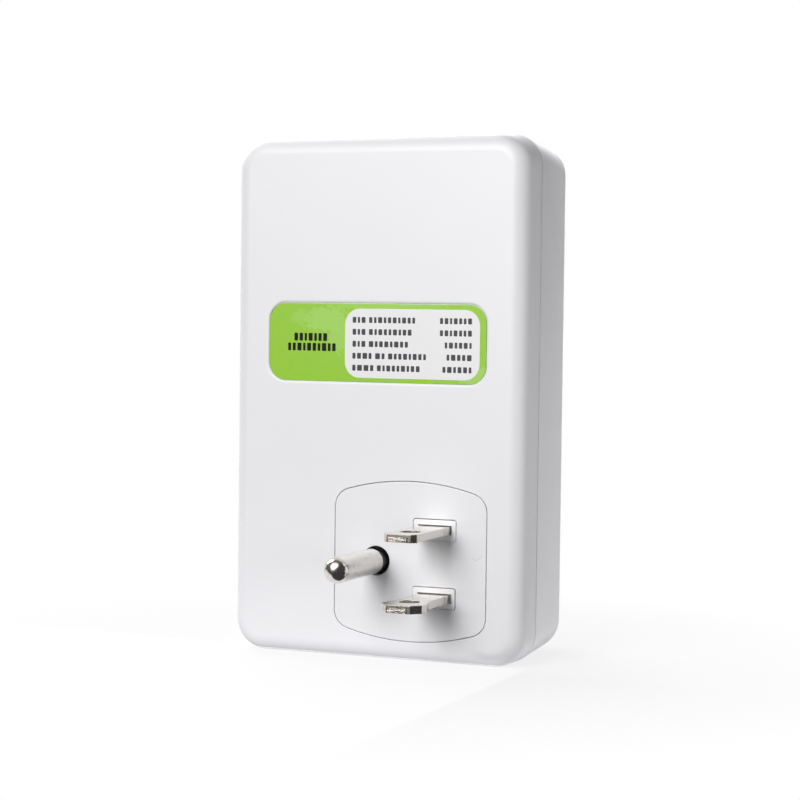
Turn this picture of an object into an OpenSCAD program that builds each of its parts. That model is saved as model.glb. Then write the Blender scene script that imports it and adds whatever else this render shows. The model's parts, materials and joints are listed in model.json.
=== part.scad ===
// Appliance voltage protector: a plug-in box with a grounded plug at the rear, a grounded
// outlet at the front and a timed cut-out board between them. Millimetres, +Z up, rear face
// towards +Y, front face towards -Y, origin under the middle of the whole part.

/* [Body] */
// Width of the body at its parting line
body_w = 59.6; // [58:0.1:80]
// Height of the body at its parting line
body_h = 98.4; // [97:0.1:130]
// Depth of the body between its two flat faces
body_d = 30; // [29.5:0.5:40]
// Depth of the rear shell
rear_d = 7.7; // [6.5:0.1:9]
// Wall thickness of both shells
wall_t = 2; // [1.8:0.1:2.2]
// Corner radius seen from the front
plan_r = 6; // [5.5:0.1:8]
// Rounding around the rear face
rear_edge_r = 2.2; // [1:0.1:3]
// Rounding around the front face
front_edge_r = 3.8; // [2.5:0.1:3.8]
// Narrowing of each side of the rear shell from the parting line to its face
rear_taper = 0.3; // [0:0.1:1]
// Lowering of the top of the rear shell from the parting line to its face
rear_top_taper = 0.5; // [0:0.1:1]
// Narrowing of each side of the front shell from the parting line to its face
front_taper = 2; // [0:0.1:2.4]
// Lowering of the top of the front shell from the parting line to its face
front_top_taper = 0.7; // [0:0.1:1.8]
// Height of the rear shell's lip inside the front shell
lip_h = 2; // [1:0.1:3]
// Thickness of that lip
lip_t = 0.9; // [0.6:0.1:1]

/* [Plug] */
// Distance between the centres of the two flat blades
blade_pitch = 12.7; // [12.6:0.1:12.8]
// Distance from the blades' line to the ground pin
ground_pitch = 11.9; // [11.8:0.1:12]
// Width of the hot blade, and of the neutral blade behind its tip
blade_w = 6.35; // [6.2:0.05:6.5]
// Width of the neutral blade's tip
neutral_tip_w = 7.94; // [7.6:0.02:8.1]
// Thickness of both blades
blade_t = 1.5; // [1.4:0.05:1.6]
// Length of the blades outside the rear face
blade_len = 17; // [15:0.1:18]
// Width of the flat end of both blades
blade_end_w = 3.75; // [3:0.05:5]
// Diameter of the hole through each blade
blade_hole_d = 3.9; // [3:0.1:4.2]
// Distance of that hole from the rear face
blade_hole_y = 11.7; // [10:0.1:12.5]
// Diameter of the ground pin
pin_d = 4.76; // [4.6:0.02:4.9]
// Length of the ground pin outside the rear face
pin_len = 19.5; // [17:0.1:21]
// Height of the dark collar around the ground pin's root, outside the rear face
collar_h = 1.9; // [1:0.1:3]

/* [Plug plate] */
// Half the width of the arched plate
plate_half_w = 15.22; // [15:0.01:15.6]
// Half the height of the arched plate, at its middle
plate_half_h = 14.93; // [14.8:0.01:15.2]
// Radius of the plate's upper and lower arch
arch_r = 45; // [42:1:60]
// Radius of the plate's corners
plate_corner_r = 3.5; // [3:0.1:4]
// Thickness of the plate
plate_t = 1.6; // [1.4:0.1:1.8]
// Distance from the blades' line to the plate's middle
plate_shift = 4.97; // [4.8:0.01:5.1]
// Distance from the plate to the side of the body
plate_side = 7.2; // [7:0.05:9]
// Distance from the plate's lowest point to the base
plate_foot = 3.87; // [3.8:0.01:6]
// Width of the small seat around each blade
seat_w = 8.45; // [8.2:0.05:9]
// Height of the small seat around each blade
seat_h = 3.85; // [3.4:0.05:4.2]

/* [Label] */
// Distance from the label to each side of the body
label_side = 7.75; // [7:0.05:10]
// Height of the label
label_h = 14.65; // [12:0.05:15]
// Corner radius of the label
label_r = 3.4; // [1:0.1:5]
// Thickness of the label
label_t = 0.2; // [0.1:0.05:0.25]
// Depth of the label's recess
label_recess = 0.35; // [0.3:0.05:0.5]

/* [Outlet] */
// Width of the hot slot
hot_slot_w = 7; // [6.8:0.1:7.4]
// Width of the neutral slot
neutral_slot_w = 8.8; // [8.4:0.1:9.2]
// Height of both slots
slot_h = 2.2; // [2:0.1:2.4]
// Diameter of the round ground hole
ground_hole_d = 5.4; // [5.2:0.1:5.8]
// Room between the plug's carrier and the contact block
block_room = 4.8; // [4.6:0.1:6]
// Thickness of the contact springs
contact_t = 0.6; // [0.5:0.05:0.7]

/* [Board] */
// Distance from the circuit board to each side of the body
board_side = 4.8; // [3.8:0.1:5.3]
// Distance from the circuit board to the top of the body
board_top = 6.4; // [5.5:0.1:8]
// Distance from the upper contact's tab to the circuit board
board_gap = 3.1; // [2.8:0.1:4]
// Thickness of the circuit board
board_t = 1.6; // [1.2:0.1:1.8]
// Distance of the board from the rear face
board_y = 7; // [6.6:0.1:7.2]
// Distance from each case screw to the end of the label
screw_inset = 4.05; // [3.5:0.05:6]
// Diameter of the status lamps
lamp_d = 3; // [2.8:0.1:5]
// Length of lamp that stands out of the front face
lamp_proud = 1.2; // [0.6:0.1:2]
// Distance between neighbouring lamps
lamp_pitch = 12; // [8:0.5:14]

/* [Relay] */
// Gap between the open contacts
contact_gap = 0.9; // [0.9:0.05:1.2]

/* [Hidden] */

// Sides of the round parts, of the rounded forms and of the wires
round_fn = 64;
form_fn = 32;
wire_fn = 8;
// How far a cut runs past the face that it opens, and how thin a blended form starts
over = 1;
seam_t = 0.2;
// Clearances: seated pieces, running pieces, and inlaid plates against their windows
seat_gap = 0.1;
side_gap = 0.15;
loose_gap = 0.3;

// Planes along Y
total_d = lamp_proud + body_d + pin_len;
rear_y = total_d / 2 - pin_len;
seam_y = rear_y - rear_d;
front_y = rear_y - body_d;
front_d = body_d - rear_d;

// Places of the plug and of the plate, seen along Y
plate_x = plate_side + plate_half_w - body_w / 2;
plate_z = plate_foot + plate_half_h;
plug_offset = plate_shift - plate_x;
blade_x = -plug_offset;
ground_x = blade_x + ground_pitch;
plate_rise = 0.15;
plug_z = plate_z - plate_rise;
hot_z = plug_z + blade_pitch / 2;
neutral_z = plug_z - blade_pitch / 2;

// Frame behind each arched plate, and the flange that is screwed to it
ledge_w = 2;
ledge_t = 1.6;
frame_w = 1.6;
inner_half_w = plate_half_w - ledge_w;
inner_half_h = plate_half_h - ledge_w;
flange_t = 1.8;
flange_hole_shares = [1.012, 0.965];
flange_hole_x = flange_hole_shares[0] * plate_half_w;
flange_hole_z = flange_hole_shares[1] * plate_half_h;
flange_r = 2;
small_screw_r = 1;
small_head_r = 1.9;
small_head_h = 1.3;
small_screw_len = 3.6;
tap_gap = 0.05;
// Length and width of a cross slot, as shares of the head's radius
cross_shares = [1.2, 0.3];

// Blades behind the plate
pocket_t = 1.4;
carrier_t = 4.4;
retainer_t = 1.2;
shoulder_w = 9.4;
tail_w = 4.6;
tail_len = 2.2;
carrier_back = plate_t + carrier_t;
retainer_back = carrier_back + retainer_t;
tail_back = retainer_back + tail_len;
neck_y = 10.2;
neck_len = 2.7;
slot_gap = 0.05;
pin_r = pin_d / 2;
bush_r = 3.9;
bush_hole_r = 2.75;
pin_neck_r = 1.6;
collar_r = 2.1;
pin_shoulder_r = 3.3;
pin_tail_r = 1.6;
strap_t = 0.8;
strap_w = 4;

// Label, and the case screws under it
label_w = body_w - 2 * label_side;
screw_pitch = label_w - 2 * screw_inset;
screw_r = 1.4;
screw_head_r = 2.7;
screw_head_h = 1.7;
screw_len = 16;
boss_r = 4;
post_r = 3.2;
floor_t = 1;
bore_len = 12;
support_r = 2;
support_inset = 4;

// Snap tabs at the foot of the rear shell
tab_w = 6;
tab_t = 1;
tab_len = 4.6;
tab_hook = 0.5;
tab_hook_len = 1;
tab_x = 15;

// Outlet block
block_d = body_d - retainer_back - block_room;
block_half_w = inner_half_w - loose_gap;
block_half_h = inner_half_h - loose_gap;
cover_t = 1;
cell_gap = 0.4;
leaf_gap = 0.85;
leaf_start = 4.4;
leaf_back = 2.5;
leaf_len = block_d - leaf_start - contact_t - leaf_back;
hot_leaf_w = 6.6;
neutral_leaf_w = 8.2;
ground_leaf_h = 5.4;
ground_leaf_gap = 2.5;
tab_out = 2.5;
contact_tab_w = 4;
barrier_t = 0.8;
barrier_margin = 1.5;

// Circuit board, the free depth in front of it, and what lines up with it
board_w = body_w - 2 * board_side;
board_z = plate_z + block_half_h + tab_out + board_gap;
board_h = body_h - board_z - board_top;
board_room = body_d - wall_t - board_y - board_t;
support_x = board_w / 2 - support_inset;
support_z = board_z + board_h - support_inset;
label_z_share = 0.407;
lamp_z_share = 0.855;
label_z = board_z + label_z_share * board_h;
lamp_z = board_z + lamp_z_share * board_h;

// Relay, in its own frame: X along it, Y across it, Z away from the board. Its outer sizes are
// shares of the board's width and height and of the free depth
relay_size_shares = [0.44, 0.291, 0.876];
relay_l = relay_size_shares[0] * board_w;
relay_w = relay_size_shares[1] * board_h;
relay_h = relay_size_shares[2] * board_room;
relay_place_share = [-0.16, 0.173];
relay_wall = 0.8;
relay_base_t = 2.2;
relay_lift = 0.3;
relay_headroom = 8;
core_r = 1.9;
barrel_r = 2.9;
coil_r = 3.9;
bobbin_t = 0.8;
bobbin_half = 4.1;
bobbin_h = relay_h - relay_headroom;
yoke_t = 1.3;
yoke_side = 2.2;
yoke_w = relay_w - 2 * (relay_wall + yoke_side);
yoke_x = -relay_l / 2 + relay_wall + loose_gap;
coil_x = yoke_x + yoke_t + seat_gap + bobbin_half;
pole_gap = 0.45;
rest_gap = 0.15;
armature_t = 1.2;
armature_side = 0.5;
armature_w = yoke_w - 2 * armature_side;
armature_reach = 1.8;
armature_end = coil_x + bobbin_half + armature_reach;
button_r = 1.4;
button_t = 0.5;
terminal_t = 0.8;
terminal_w = 3;
terminal_inset = 1.3;
terminal_x = relay_l / 2 - relay_wall - terminal_inset;
button_x = terminal_x - button_r - seat_gap;
leaf_t = 0.3;
leaf_w = 5;
leaf_end = terminal_x - loose_gap;
pin_w = 0.9;
// Places of the coil's pins and of the common pin, as shares of the relay's length and width
coil_pin_shares = [[-0.39, -0.375], [-0.39, 0.375]];
common_pin_share = [0.14, 0.31];
yoke_z = relay_lift + relay_base_t + seat_gap;
pole_z = yoke_z + yoke_t + bobbin_h;
armature_z = pole_z + pole_gap;
leaf_z = armature_z + armature_t;

// Small parts on the board: their places and sizes as shares of the board's width, of its height
// and of the free depth in front of it
function board_size(shares) = [shares[0] * board_w, shares[1] * board_h, shares[2] * board_room];
film_size_shares = [0.36, 0.155, 0.75];
film_size = board_size(film_size_shares);
film_place_share = [0.28, 0.2];
varistor_size_shares = [0.1, 0.08, 0.26];
varistor_r = min(varistor_size_shares[0] * board_w, varistor_size_shares[2] * board_room);
varistor_t = varistor_size_shares[1] * board_h;
varistor_place_share = [0.27, 0.055];
can_size_shares = [[0.08, 0.073, 0.62], [0.1, 0.091, 0.825]];
can_sizes = [for (s = can_size_shares) [min(s[0] * board_w, s[1] * board_h), s[2] * board_room]];
can_place_shares = [[0.18, 0.49], [0.21, 0.71]];
chip_size_shares = [0.192, 0.116, 0.175];
chip_size = board_size(chip_size_shares);
chip_place_share = [-0.19, 0.545];
bridge_size_shares = [0.168, 0.116, 0.155];
bridge_size = board_size(bridge_size_shares);
bridge_place_share = [-0.02, 0.42];
transistor_size_shares = [0.046, 0.042, 0.237];
transistor_lift_share = 0.155;
transistor_r = min(transistor_size_shares[0] * board_w, transistor_size_shares[1] * board_h);
transistor_h = transistor_size_shares[2] * board_room;
transistor_lift = transistor_lift_share * board_room;
transistor_place_share = [-0.04, 0.64];
resistor_size_shares = [0.128, 0.022];
resistor_len = resistor_size_shares[0] * board_w;
resistor_r = resistor_size_shares[1] * board_h;
resistor_place_shares = [
    [-0.38, 0.6], [-0.38, 0.69], [-0.38, 0.78], [-0.16, 0.745], [0.38, 0.565], [0.38, 0.655]
];
diode_size_shares = [0.1, 0.0236];
diode_len = diode_size_shares[0] * board_w;
diode_r = diode_size_shares[1] * board_h;
diode_place_shares = [[-0.16, 0.4], [-0.16, 0.673]];
ceramic_size_shares = [0.1, 0.044, 0.284];
ceramic_size = board_size(ceramic_size_shares);
ceramic_place_shares = [[0, 0.745], [-0.42, 0.51]];
lead_r = 0.3;
lead_pitch = 2.54;
lamp_rim = 0.4;
lamp_rim_t = 1;

// Front face of the board
board_front = rear_y - board_y - board_t;

// Wires: radii and the points of their routes, laid by hand along the empty spaces
power_wire_r = 1.3;
thin_wire_r = 0.8;
hot_in_route = [
    [-12.4, -2.8, 25.9], [-12.4, -2.8, 28], [-12.8, -2.9, 30.4], [-14.8, -3.2, 32.8],
    [-18, -3.8, 34.6], [-21.2, -4.8, 36.2], [-23, -5.8, 38.2], [-23.2, -5.6, 40.2], [-23.2, -4.2, 40.8],
    [-23.2, -2.8, 40.8]
];
hot_out_route = [
    [5.6, -2.8, 40.4], [5.6, -5.4, 40.4], [5.6, -7.8, 39.2], [4, -9.4, 37.2], [0, -9.6, 36.6],
    [-4, -9.6, 36.6], [-8, -9.6, 36.6], [-11, -9.4, 36.2], [-12.3, -9, 35.2], [-12.4, -9, 34.1]
];
neutral_route = [
    [-24.6, -7.2, 15], [-24.6, -7.2, 18], [-25, -7, 22], [-25.2, -6.8, 28], [-25.2, -6.6, 34],
    [-25, -6.4, 40], [-24.2, -6.2, 45], [-23, -4.6, 48], [-23, -2.8, 48]
];

// The arched plate's outline, grown by a margin: arcs of the four corners, joined by the arches
arch_z = plate_half_h - arch_r;
corner_x = plate_half_w - plate_corner_r;
corner_z = arch_z + sqrt(pow(arch_r - plate_corner_r, 2) - pow(corner_x, 2));
corner_turn = atan2(corner_z - arch_z, corner_x);
corner_steps = 8;
arch_steps = 12;
function quarter(grow) = concat(
    [for (i = [0:corner_steps]) let (a = corner_turn * i / corner_steps, r = plate_corner_r + grow)
        [corner_x + r * cos(a), corner_z + r * sin(a)]],
    [for (i = [1:arch_steps - 1])
        let (a = corner_turn + (90 - corner_turn) * i / arch_steps, r = arch_r + grow)
        [r * cos(a), arch_z + r * sin(a)]]
);
function flip(points, sx, sz) = [for (p = points) [sx * p[0], sz * p[1]]];
function reversed(points) = [for (i = [len(points) - 1:-1:0]) points[i]];
function plate_outline(grow) = let (q = quarter(grow)) concat(
    q, [[0, plate_half_h + grow]], reversed(flip(q, -1, 1)),
    flip(q, -1, -1), [[0, -plate_half_h - grow]], reversed(flip(q, 1, -1))
);

// Moves a drawing in X and Z to a depth behind the rear face, and extrudes it towards the front
module from_rear(depth, thickness) {
    translate([0, rear_y - depth, 0]) rotate([90, 0, 0]) linear_extrude(height = thickness) children();
}

// The same from the front face, towards the rear
module from_front(depth, thickness) {
    translate([0, front_y + depth + thickness, 0]) rotate([90, 0, 0])
        linear_extrude(height = thickness) children();
}

// Stands its children on the board's front face, with their Z away from the board; the place is
// given as shares of the board's width from its middle and of its height from its lower edge
module on_board(share) {
    translate([share[0] * board_w, board_front, board_z + share[1] * board_h])
        rotate([90, 0, 0]) children();
}

// Flat rectangle with round corners, centred
module round_rect(w, h, r) {
    square([w - 2 * r, h], center = true);
    square([w, h - 2 * r], center = true);
    for (sx = [-1, 1], sy = [-1, 1])
        translate([sx * (w / 2 - r), sy * (h / 2 - r)]) circle(r = r, $fn = round_fn);
}

// The body's outline at the parting line, drawn in by an inset
module seam_outline(inset) {
    translate([0, body_h / 2]) round_rect(body_w - 2 * inset, body_h - 2 * inset, plan_r - inset);
}

// Rounded half of the body: open at Y = 0, closed at Y = depth, flat underneath
module half_form(depth, taper, top_taper, edge_r, inset, start) {
    r = plan_r - inset;
    e = max(edge_r - inset, seam_t);
    x = body_w / 2 - inset - r;
    hull()
        for (sx = [-1, 1], top = [0, 1]) {
            translate([sx * x, -start, top * (body_h - 2 * inset - 2 * r) + inset + r])
                rotate([-90, 0, 0]) cylinder(r = r, h = start + seam_t, $fn = form_fn);
            translate([sx * (x - taper), depth - inset - e,
                       top * (body_h - top_taper - 2 * inset - 2 * r) + inset + r])
                rotate([-90, 0, 0]) rotate_extrude($fn = form_fn) intersection() {
                    translate([r - e, 0]) circle(r = e, $fn = form_fn);
                    translate([0, -e]) square([r, 2 * e]);
                }
        }
}

module rear_form(inset, start) {
    translate([0, seam_y, 0]) 
        half_form(rear_d, rear_taper, rear_top_taper, rear_edge_r, inset, start);
}

module front_form(inset, start) {
    translate([0, seam_y, 0]) mirror([0, 1, 0])
        half_form(front_d, front_taper, front_top_taper, front_edge_r, inset, start);
}

// Places of the four small screws at the corners of an arched plate
module at_flange_holes() {
    for (sx = [-1, 1], sz = [-1, 1])
        translate([plate_x + sx * flange_hole_x, plate_z + sz * flange_hole_z]) children();
}

// The arched plate's outline, in place
module plate_face(grow) {
    translate([plate_x, plate_z]) polygon(plate_outline(grow));
}

// Window frame for an arched plate: the material, and what is cut from it
module frame_solid() {
    plate_face(frame_w);
    at_flange_holes() disc(flange_r);
}

module frame_window() {
    translate([plate_x, plate_z]) round_rect(2 * inner_half_w, 2 * inner_half_h, plate_corner_r);
}

// Flange with a round ear at each screw
module flange_outline(gap) {
    r = flange_r + gap;
    translate([plate_x, plate_z]) round_rect(2 * (flange_hole_x + r), 2 * (flange_hole_z + r), r);
}

module flange_plate() {
    difference() {
        flange_outline(0);
        at_flange_holes() disc(small_screw_r + seat_gap);
    }
}

// Outline of the blocks that stand behind an arched plate
module block_face(half_w, half_h) {
    translate([plate_x, plate_z]) round_rect(2 * half_w, 2 * half_h, plate_corner_r);
}

// Places of the two case screws
module at_case_screws() {
    for (sx = [-1, 1]) translate([sx * screw_pitch / 2, label_z]) children();
}

// Fine circle
module disc(r) {
    circle(r = r, $fn = round_fn);
}

// Cross slot of a screw's head
module cross_slot(head_r) {
    for (turn = [0, 90]) rotate(turn)
        square([cross_shares[0] * head_r, cross_shares[1] * head_r], center = true);
}

// Hooked tabs at the foot of the rear shell, or with a gap their pockets
module snap_tabs(gap) {
    for (sx = [-1, 1]) {
        translate([sx * tab_x - tab_w / 2 - gap, seam_y - tab_len - gap, wall_t - gap])
            cube([tab_w + 2 * gap, tab_len + gap, tab_t + gap]);
        translate([sx * tab_x - tab_w / 2 - gap, seam_y - tab_len - gap, wall_t - tab_hook - gap])
            cube([tab_w + 2 * gap, tab_hook_len + 2 * gap, tab_hook + tab_t + gap]);
    }
}

module rear_shell() {
    color([0.93, 0.93, 0.95]) difference() {
        union() {
            difference() {
                rear_form(0, 0);
                rear_form(wall_t, over);
            }
            // Lip that enters the front shell
            translate([0, seam_y + over, 0]) rotate([90, 0, 0])
                linear_extrude(height = lip_h + over) difference() {
                    seam_outline(wall_t - lip_t);
                    seam_outline(wall_t);
                }
            // Tabs that hook into the front shell
            snap_tabs(0);
            for (sx = [-1, 1]) translate([sx * tab_x - tab_w / 2, seam_y, wall_t])
                cube([tab_w, over, tab_t]);
            // Frame around the plug plate
            from_rear(wall_t / 2, plate_t + ledge_t - wall_t / 2) frame_solid();
            // Bosses of the case screws, and stops behind the board
            from_rear(wall_t / 2, board_y - wall_t / 2) at_case_screws() disc(boss_r);
            from_rear(wall_t / 2, board_y - wall_t / 2)
                for (sx = [-1, 1]) translate([sx * support_x, support_z]) disc(support_r);
        }
        from_rear(-over, label_recess + over) translate([0, label_z])
            round_rect(label_w + 2 * side_gap, label_h + 2 * side_gap, label_r + side_gap);
        from_rear(-over, plate_t + over) plate_face(side_gap);
        from_rear(0, plate_t + ledge_t + over) frame_window();
        from_rear(plate_t + ledge_t, flange_t + side_gap) flange_outline(side_gap);
        from_rear(floor_t, plate_t + ledge_t) at_flange_holes() disc(small_screw_r + tap_gap);
        from_rear(0, label_recess + screw_head_h + seat_gap)
            at_case_screws() disc(screw_head_r + side_gap);
        from_rear(0, board_y + over) at_case_screws() disc(screw_r + side_gap);
    }
}

module front_shell() {
    color([0.93, 0.93, 0.95]) difference() {
        union() {
            difference() {
                front_form(0, 0);
                front_form(wall_t, over);
            }
            from_front(wall_t / 2, plate_t + ledge_t - wall_t / 2) frame_solid();
            // Posts that meet the board and take the case screws
            from_front(wall_t / 2, body_d - board_y - board_t - wall_t / 2)
                at_case_screws() disc(post_r);
        }
        // Rebate for the lip, and pockets for the tabs
        translate([0, seam_y + over, 0]) rotate([90, 0, 0])
            linear_extrude(height = lip_h + over + seat_gap) seam_outline(wall_t - lip_t - seat_gap);
        snap_tabs(seat_gap);
        from_front(-over, plate_t + over) plate_face(side_gap);
        from_front(0, plate_t + ledge_t + over) frame_window();
        from_front(plate_t + ledge_t, front_d) flange_outline(side_gap);
        from_front(floor_t, plate_t + ledge_t) at_flange_holes() disc(small_screw_r + tap_gap);
        from_rear(board_y + board_t - over, bore_len + over) at_case_screws() disc(screw_r + tap_gap);
        from_front(-over, wall_t + 2 * over) at_lamps() disc(lamp_d / 2 + seat_gap);
    }
}

// Places of the two flat blades
module at_blades() {
    for (z = [hot_z, neutral_z]) translate([blade_x, z]) children();
}

module plug_plate() {
    color([0.92, 0.92, 0.94]) difference() {
        from_rear(0, plate_t) plate_face(0);
        from_rear(-over, plate_t + 2 * over) at_blades()
            square([seat_w + 2 * seat_gap, seat_h + 2 * seat_gap], center = true);
        from_rear(-over, plate_t + 2 * over) translate([ground_x, plug_z]) disc(bush_hole_r);
    }
}

// Slots that hold the blades, grown by a gap
module blade_slots(gap) {
    at_blades() square([blade_w + 2 * gap, blade_t + 2 * gap], center = true);
}

module blade_carrier() {
    color([0.96, 0.96, 0.97]) difference() {
        union() {
            from_rear(plate_t, carrier_t) block_face(block_half_w, block_half_h);
            from_rear(plate_t + ledge_t, flange_t) flange_plate();
            from_rear(0, plate_t + over) at_blades() square([seat_w, seat_h], center = true);
        }
        from_rear(-over, carrier_back + 2 * over) blade_slots(slot_gap);
        from_rear(carrier_back - pocket_t, pocket_t + over) at_blades()
            square([shoulder_w + 2 * seat_gap, blade_t + 2 * seat_gap], center = true);
        from_rear(plate_t - over, carrier_t + 2 * over) translate([ground_x, plug_z])
            disc(bush_r + seat_gap);
    }
}

module ground_bush() {
    color([0.07, 0.1, 0.11]) difference() {
        union() {
            from_rear(plate_t, carrier_t) translate([ground_x, plug_z]) disc(bush_r);
            // Collar that stands out of the plate, in line with the pin
            from_rear(-collar_h, collar_h + plate_t + over) translate([ground_x, plug_z]) disc(collar_r);
        }
        from_rear(-collar_h - over, collar_h + carrier_back + 2 * over)
            translate([ground_x, plug_z]) disc(pin_neck_r + slot_gap);
        from_rear(carrier_back - pocket_t, pocket_t + over)
            translate([ground_x, plug_z]) disc(pin_shoulder_r + seat_gap);
    }
}

module blade_retainer() {
    color([0.25, 0.25, 0.27]) difference() {
        from_rear(carrier_back, retainer_t) block_face(block_half_w, block_half_h);
        from_rear(carrier_back - over, retainer_t + 2 * over) {
            at_blades() square([tail_w + 2 * seat_gap, blade_t + 2 * seat_gap], center = true);
            translate([ground_x, plug_z]) disc(pin_tail_r + seat_gap);
        }
    }
}

// Flat blade drawn in X and Y, from its tail to its chamfered end
module blade(tip_w) {
    chamfer = (tip_w - blade_end_w) / 2;
    neck = blade_w / 2;
    tip = tip_w / 2;
    tip_y = rear_y + blade_len;
    half = [
        [tail_w / 2, rear_y - tail_back], [tail_w / 2, rear_y - carrier_back],
        [shoulder_w / 2, rear_y - carrier_back], [shoulder_w / 2, rear_y - carrier_back + pocket_t],
        [neck, rear_y - carrier_back + pocket_t], [neck, rear_y + neck_y],
        [tip, rear_y + neck_y + neck_len], [tip, tip_y - chamfer], [blade_end_w / 2, tip_y]
    ];
    color([0.8, 0.79, 0.77]) difference() {
        translate([blade_x, 0, -blade_t / 2]) linear_extrude(height = blade_t)
            polygon(concat(half, reversed(flip(half, -1, 1))));
        translate([blade_x, rear_y + blade_hole_y, -blade_t])
            cylinder(d = blade_hole_d, h = 2 * blade_t, $fn = round_fn);
    }
}

module hot_blade() {
    translate([0, 0, hot_z]) blade(blade_w);
}

module neutral_blade() {
    translate([0, 0, neutral_z]) blade(neutral_tip_w);
}

module ground_pin() {
    shoulder_y = rear_y - carrier_back;
    neck_end = rear_y + collar_h + slot_gap;
    dome_y = rear_y + pin_len - pin_r;
    color([0.8, 0.79, 0.77]) translate([ground_x, 0, plug_z]) {
        translate([0, neck_end, 0]) rotate([-90, 0, 0])
            cylinder(r = pin_r, h = dome_y - neck_end, $fn = round_fn);
        translate([0, shoulder_y, 0]) rotate([-90, 0, 0])
            cylinder(r = pin_neck_r, h = neck_end + over - shoulder_y, $fn = round_fn);
        translate([0, dome_y, 0]) sphere(r = pin_r, $fn = round_fn);
        translate([0, shoulder_y, 0]) rotate([-90, 0, 0])
            cylinder(r = pin_shoulder_r, h = pocket_t, $fn = round_fn);
        translate([0, rear_y - tail_back, 0]) rotate([-90, 0, 0])
            cylinder(r = pin_tail_r, h = tail_back - carrier_back + over, $fn = round_fn);
    }
}

// Small screws whose heads bear on a flange, drawn from the rear face towards the front
module small_screws() {
    head_y = plate_t + ledge_t + flange_t;
    difference() {
        union() {
            from_rear(head_y, small_head_h) at_flange_holes() disc(small_head_r);
            from_rear(head_y - small_screw_len, small_screw_len + seat_gap)
                at_flange_holes() disc(small_screw_r);
        }
        from_rear(head_y + small_head_h / 2, small_head_h) at_flange_holes() cross_slot(small_head_r);
    }
}

module carrier_screws() {
    color([0.7, 0.7, 0.72]) small_screws();
}

module outlet_screws() {
    color([0.7, 0.7, 0.72]) translate([0, rear_y + front_y, 0]) mirror([0, 1, 0]) small_screws();
}

module rating_label() {
    color([0.6, 0.79, 0.27]) from_rear(label_recess - label_t, label_t)
        translate([0, label_z]) round_rect(label_w, label_h, label_r);
}

module case_screws() {
    head_y = label_recess + seat_gap;
    color([0.7, 0.7, 0.72]) difference() {
        union() {
            from_rear(head_y, screw_head_h) at_case_screws() disc(screw_head_r);
            from_rear(head_y, screw_head_h + screw_len) at_case_screws() disc(screw_r);
        }
        from_rear(head_y - over, over + screw_head_h / 2) at_case_screws() cross_slot(screw_head_r);
    }
}

// Openings for the blades and the ground pin of a plug in the outlet
module outlet_holes() {
    translate([blade_x, hot_z]) square([hot_slot_w, slot_h], center = true);
    translate([blade_x, neutral_z]) square([neutral_slot_w, slot_h], center = true);
    translate([ground_x, plug_z]) disc(ground_hole_d / 2);
}

module outlet_face() {
    color([0.92, 0.92, 0.94]) difference() {
        from_front(0, plate_t) plate_face(0);
        from_front(-over, plate_t + 2 * over) outlet_holes();
    }
}

// Cells that hold the three contacts
module outlet_cells() {
    leaf_h = 2 * (leaf_gap + contact_t + cell_gap);
    translate([blade_x, hot_z]) square([hot_leaf_w + 2 * cell_gap, leaf_h], center = true);
    translate([blade_x, neutral_z]) square([neutral_leaf_w + 2 * cell_gap, leaf_h], center = true);
    translate([ground_x, plug_z])
        square([2 * (ground_leaf_gap + contact_t + cell_gap), ground_leaf_h + 2 * cell_gap], center = true);
}

// Where the contacts' leaves join
bridge_y = front_y + leaf_start + leaf_len;

module outlet_block() {
    gap = seat_gap;
    color([0.85, 0.85, 0.86]) difference() {
        union() {
            from_front(plate_t, block_d - plate_t) block_face(block_half_w, block_half_h);
            from_front(plate_t + ledge_t, flange_t) flange_plate();
        }
        from_front(leaf_start - cell_gap, block_d) outlet_cells();
        from_front(plate_t - over, block_d) outlet_holes();
        // Slots for the tabs of the contacts
        translate([blade_x - contact_tab_w / 2 - gap, bridge_y - gap, hot_z])
            cube([contact_tab_w + 2 * gap, body_d, block_half_h + over]);
        translate([plate_x - block_half_w - over, bridge_y - gap, neutral_z - contact_tab_w / 2 - gap])
            cube([block_half_w, body_d, contact_tab_w + 2 * gap]);
        translate([ground_x, bridge_y - gap, plug_z - contact_tab_w / 2 - gap])
            cube([block_half_w + over, body_d, contact_tab_w + 2 * gap]);
    }
}

module outlet_cover() {
    color([0.8, 0.8, 0.81]) from_front(block_d, cover_t) block_face(block_half_w, block_half_h);
}

// Two spring leaves joined at their inner ends, around a blade that lies along X
module blade_contact(w) {
    for (s = [0, 1]) mirror([0, 0, s]) translate([-w / 2, front_y + leaf_start, leaf_gap])
        cube([w, leaf_len + contact_t, contact_t]);
    translate([-w / 2, bridge_y, -leaf_gap - contact_t])
        cube([w, contact_t, 2 * (leaf_gap + contact_t)]);
}

module hot_contact() {
    tab_top = plate_z + block_half_h + tab_out;
    color([0.82, 0.68, 0.35]) translate([blade_x, 0, hot_z]) {
        blade_contact(hot_leaf_w);
        translate([-contact_tab_w / 2, bridge_y, 0])
            cube([contact_tab_w, contact_t, tab_top - hot_z]);
    }
}

module neutral_contact() {
    tab_side = plate_x - block_half_w - tab_out;
    color([0.82, 0.68, 0.35]) translate([0, 0, neutral_z]) {
        translate([blade_x, 0, 0]) blade_contact(neutral_leaf_w);
        translate([tab_side, bridge_y, -contact_tab_w / 2])
            cube([blade_x - tab_side, contact_t, contact_tab_w]);
    }
}

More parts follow.
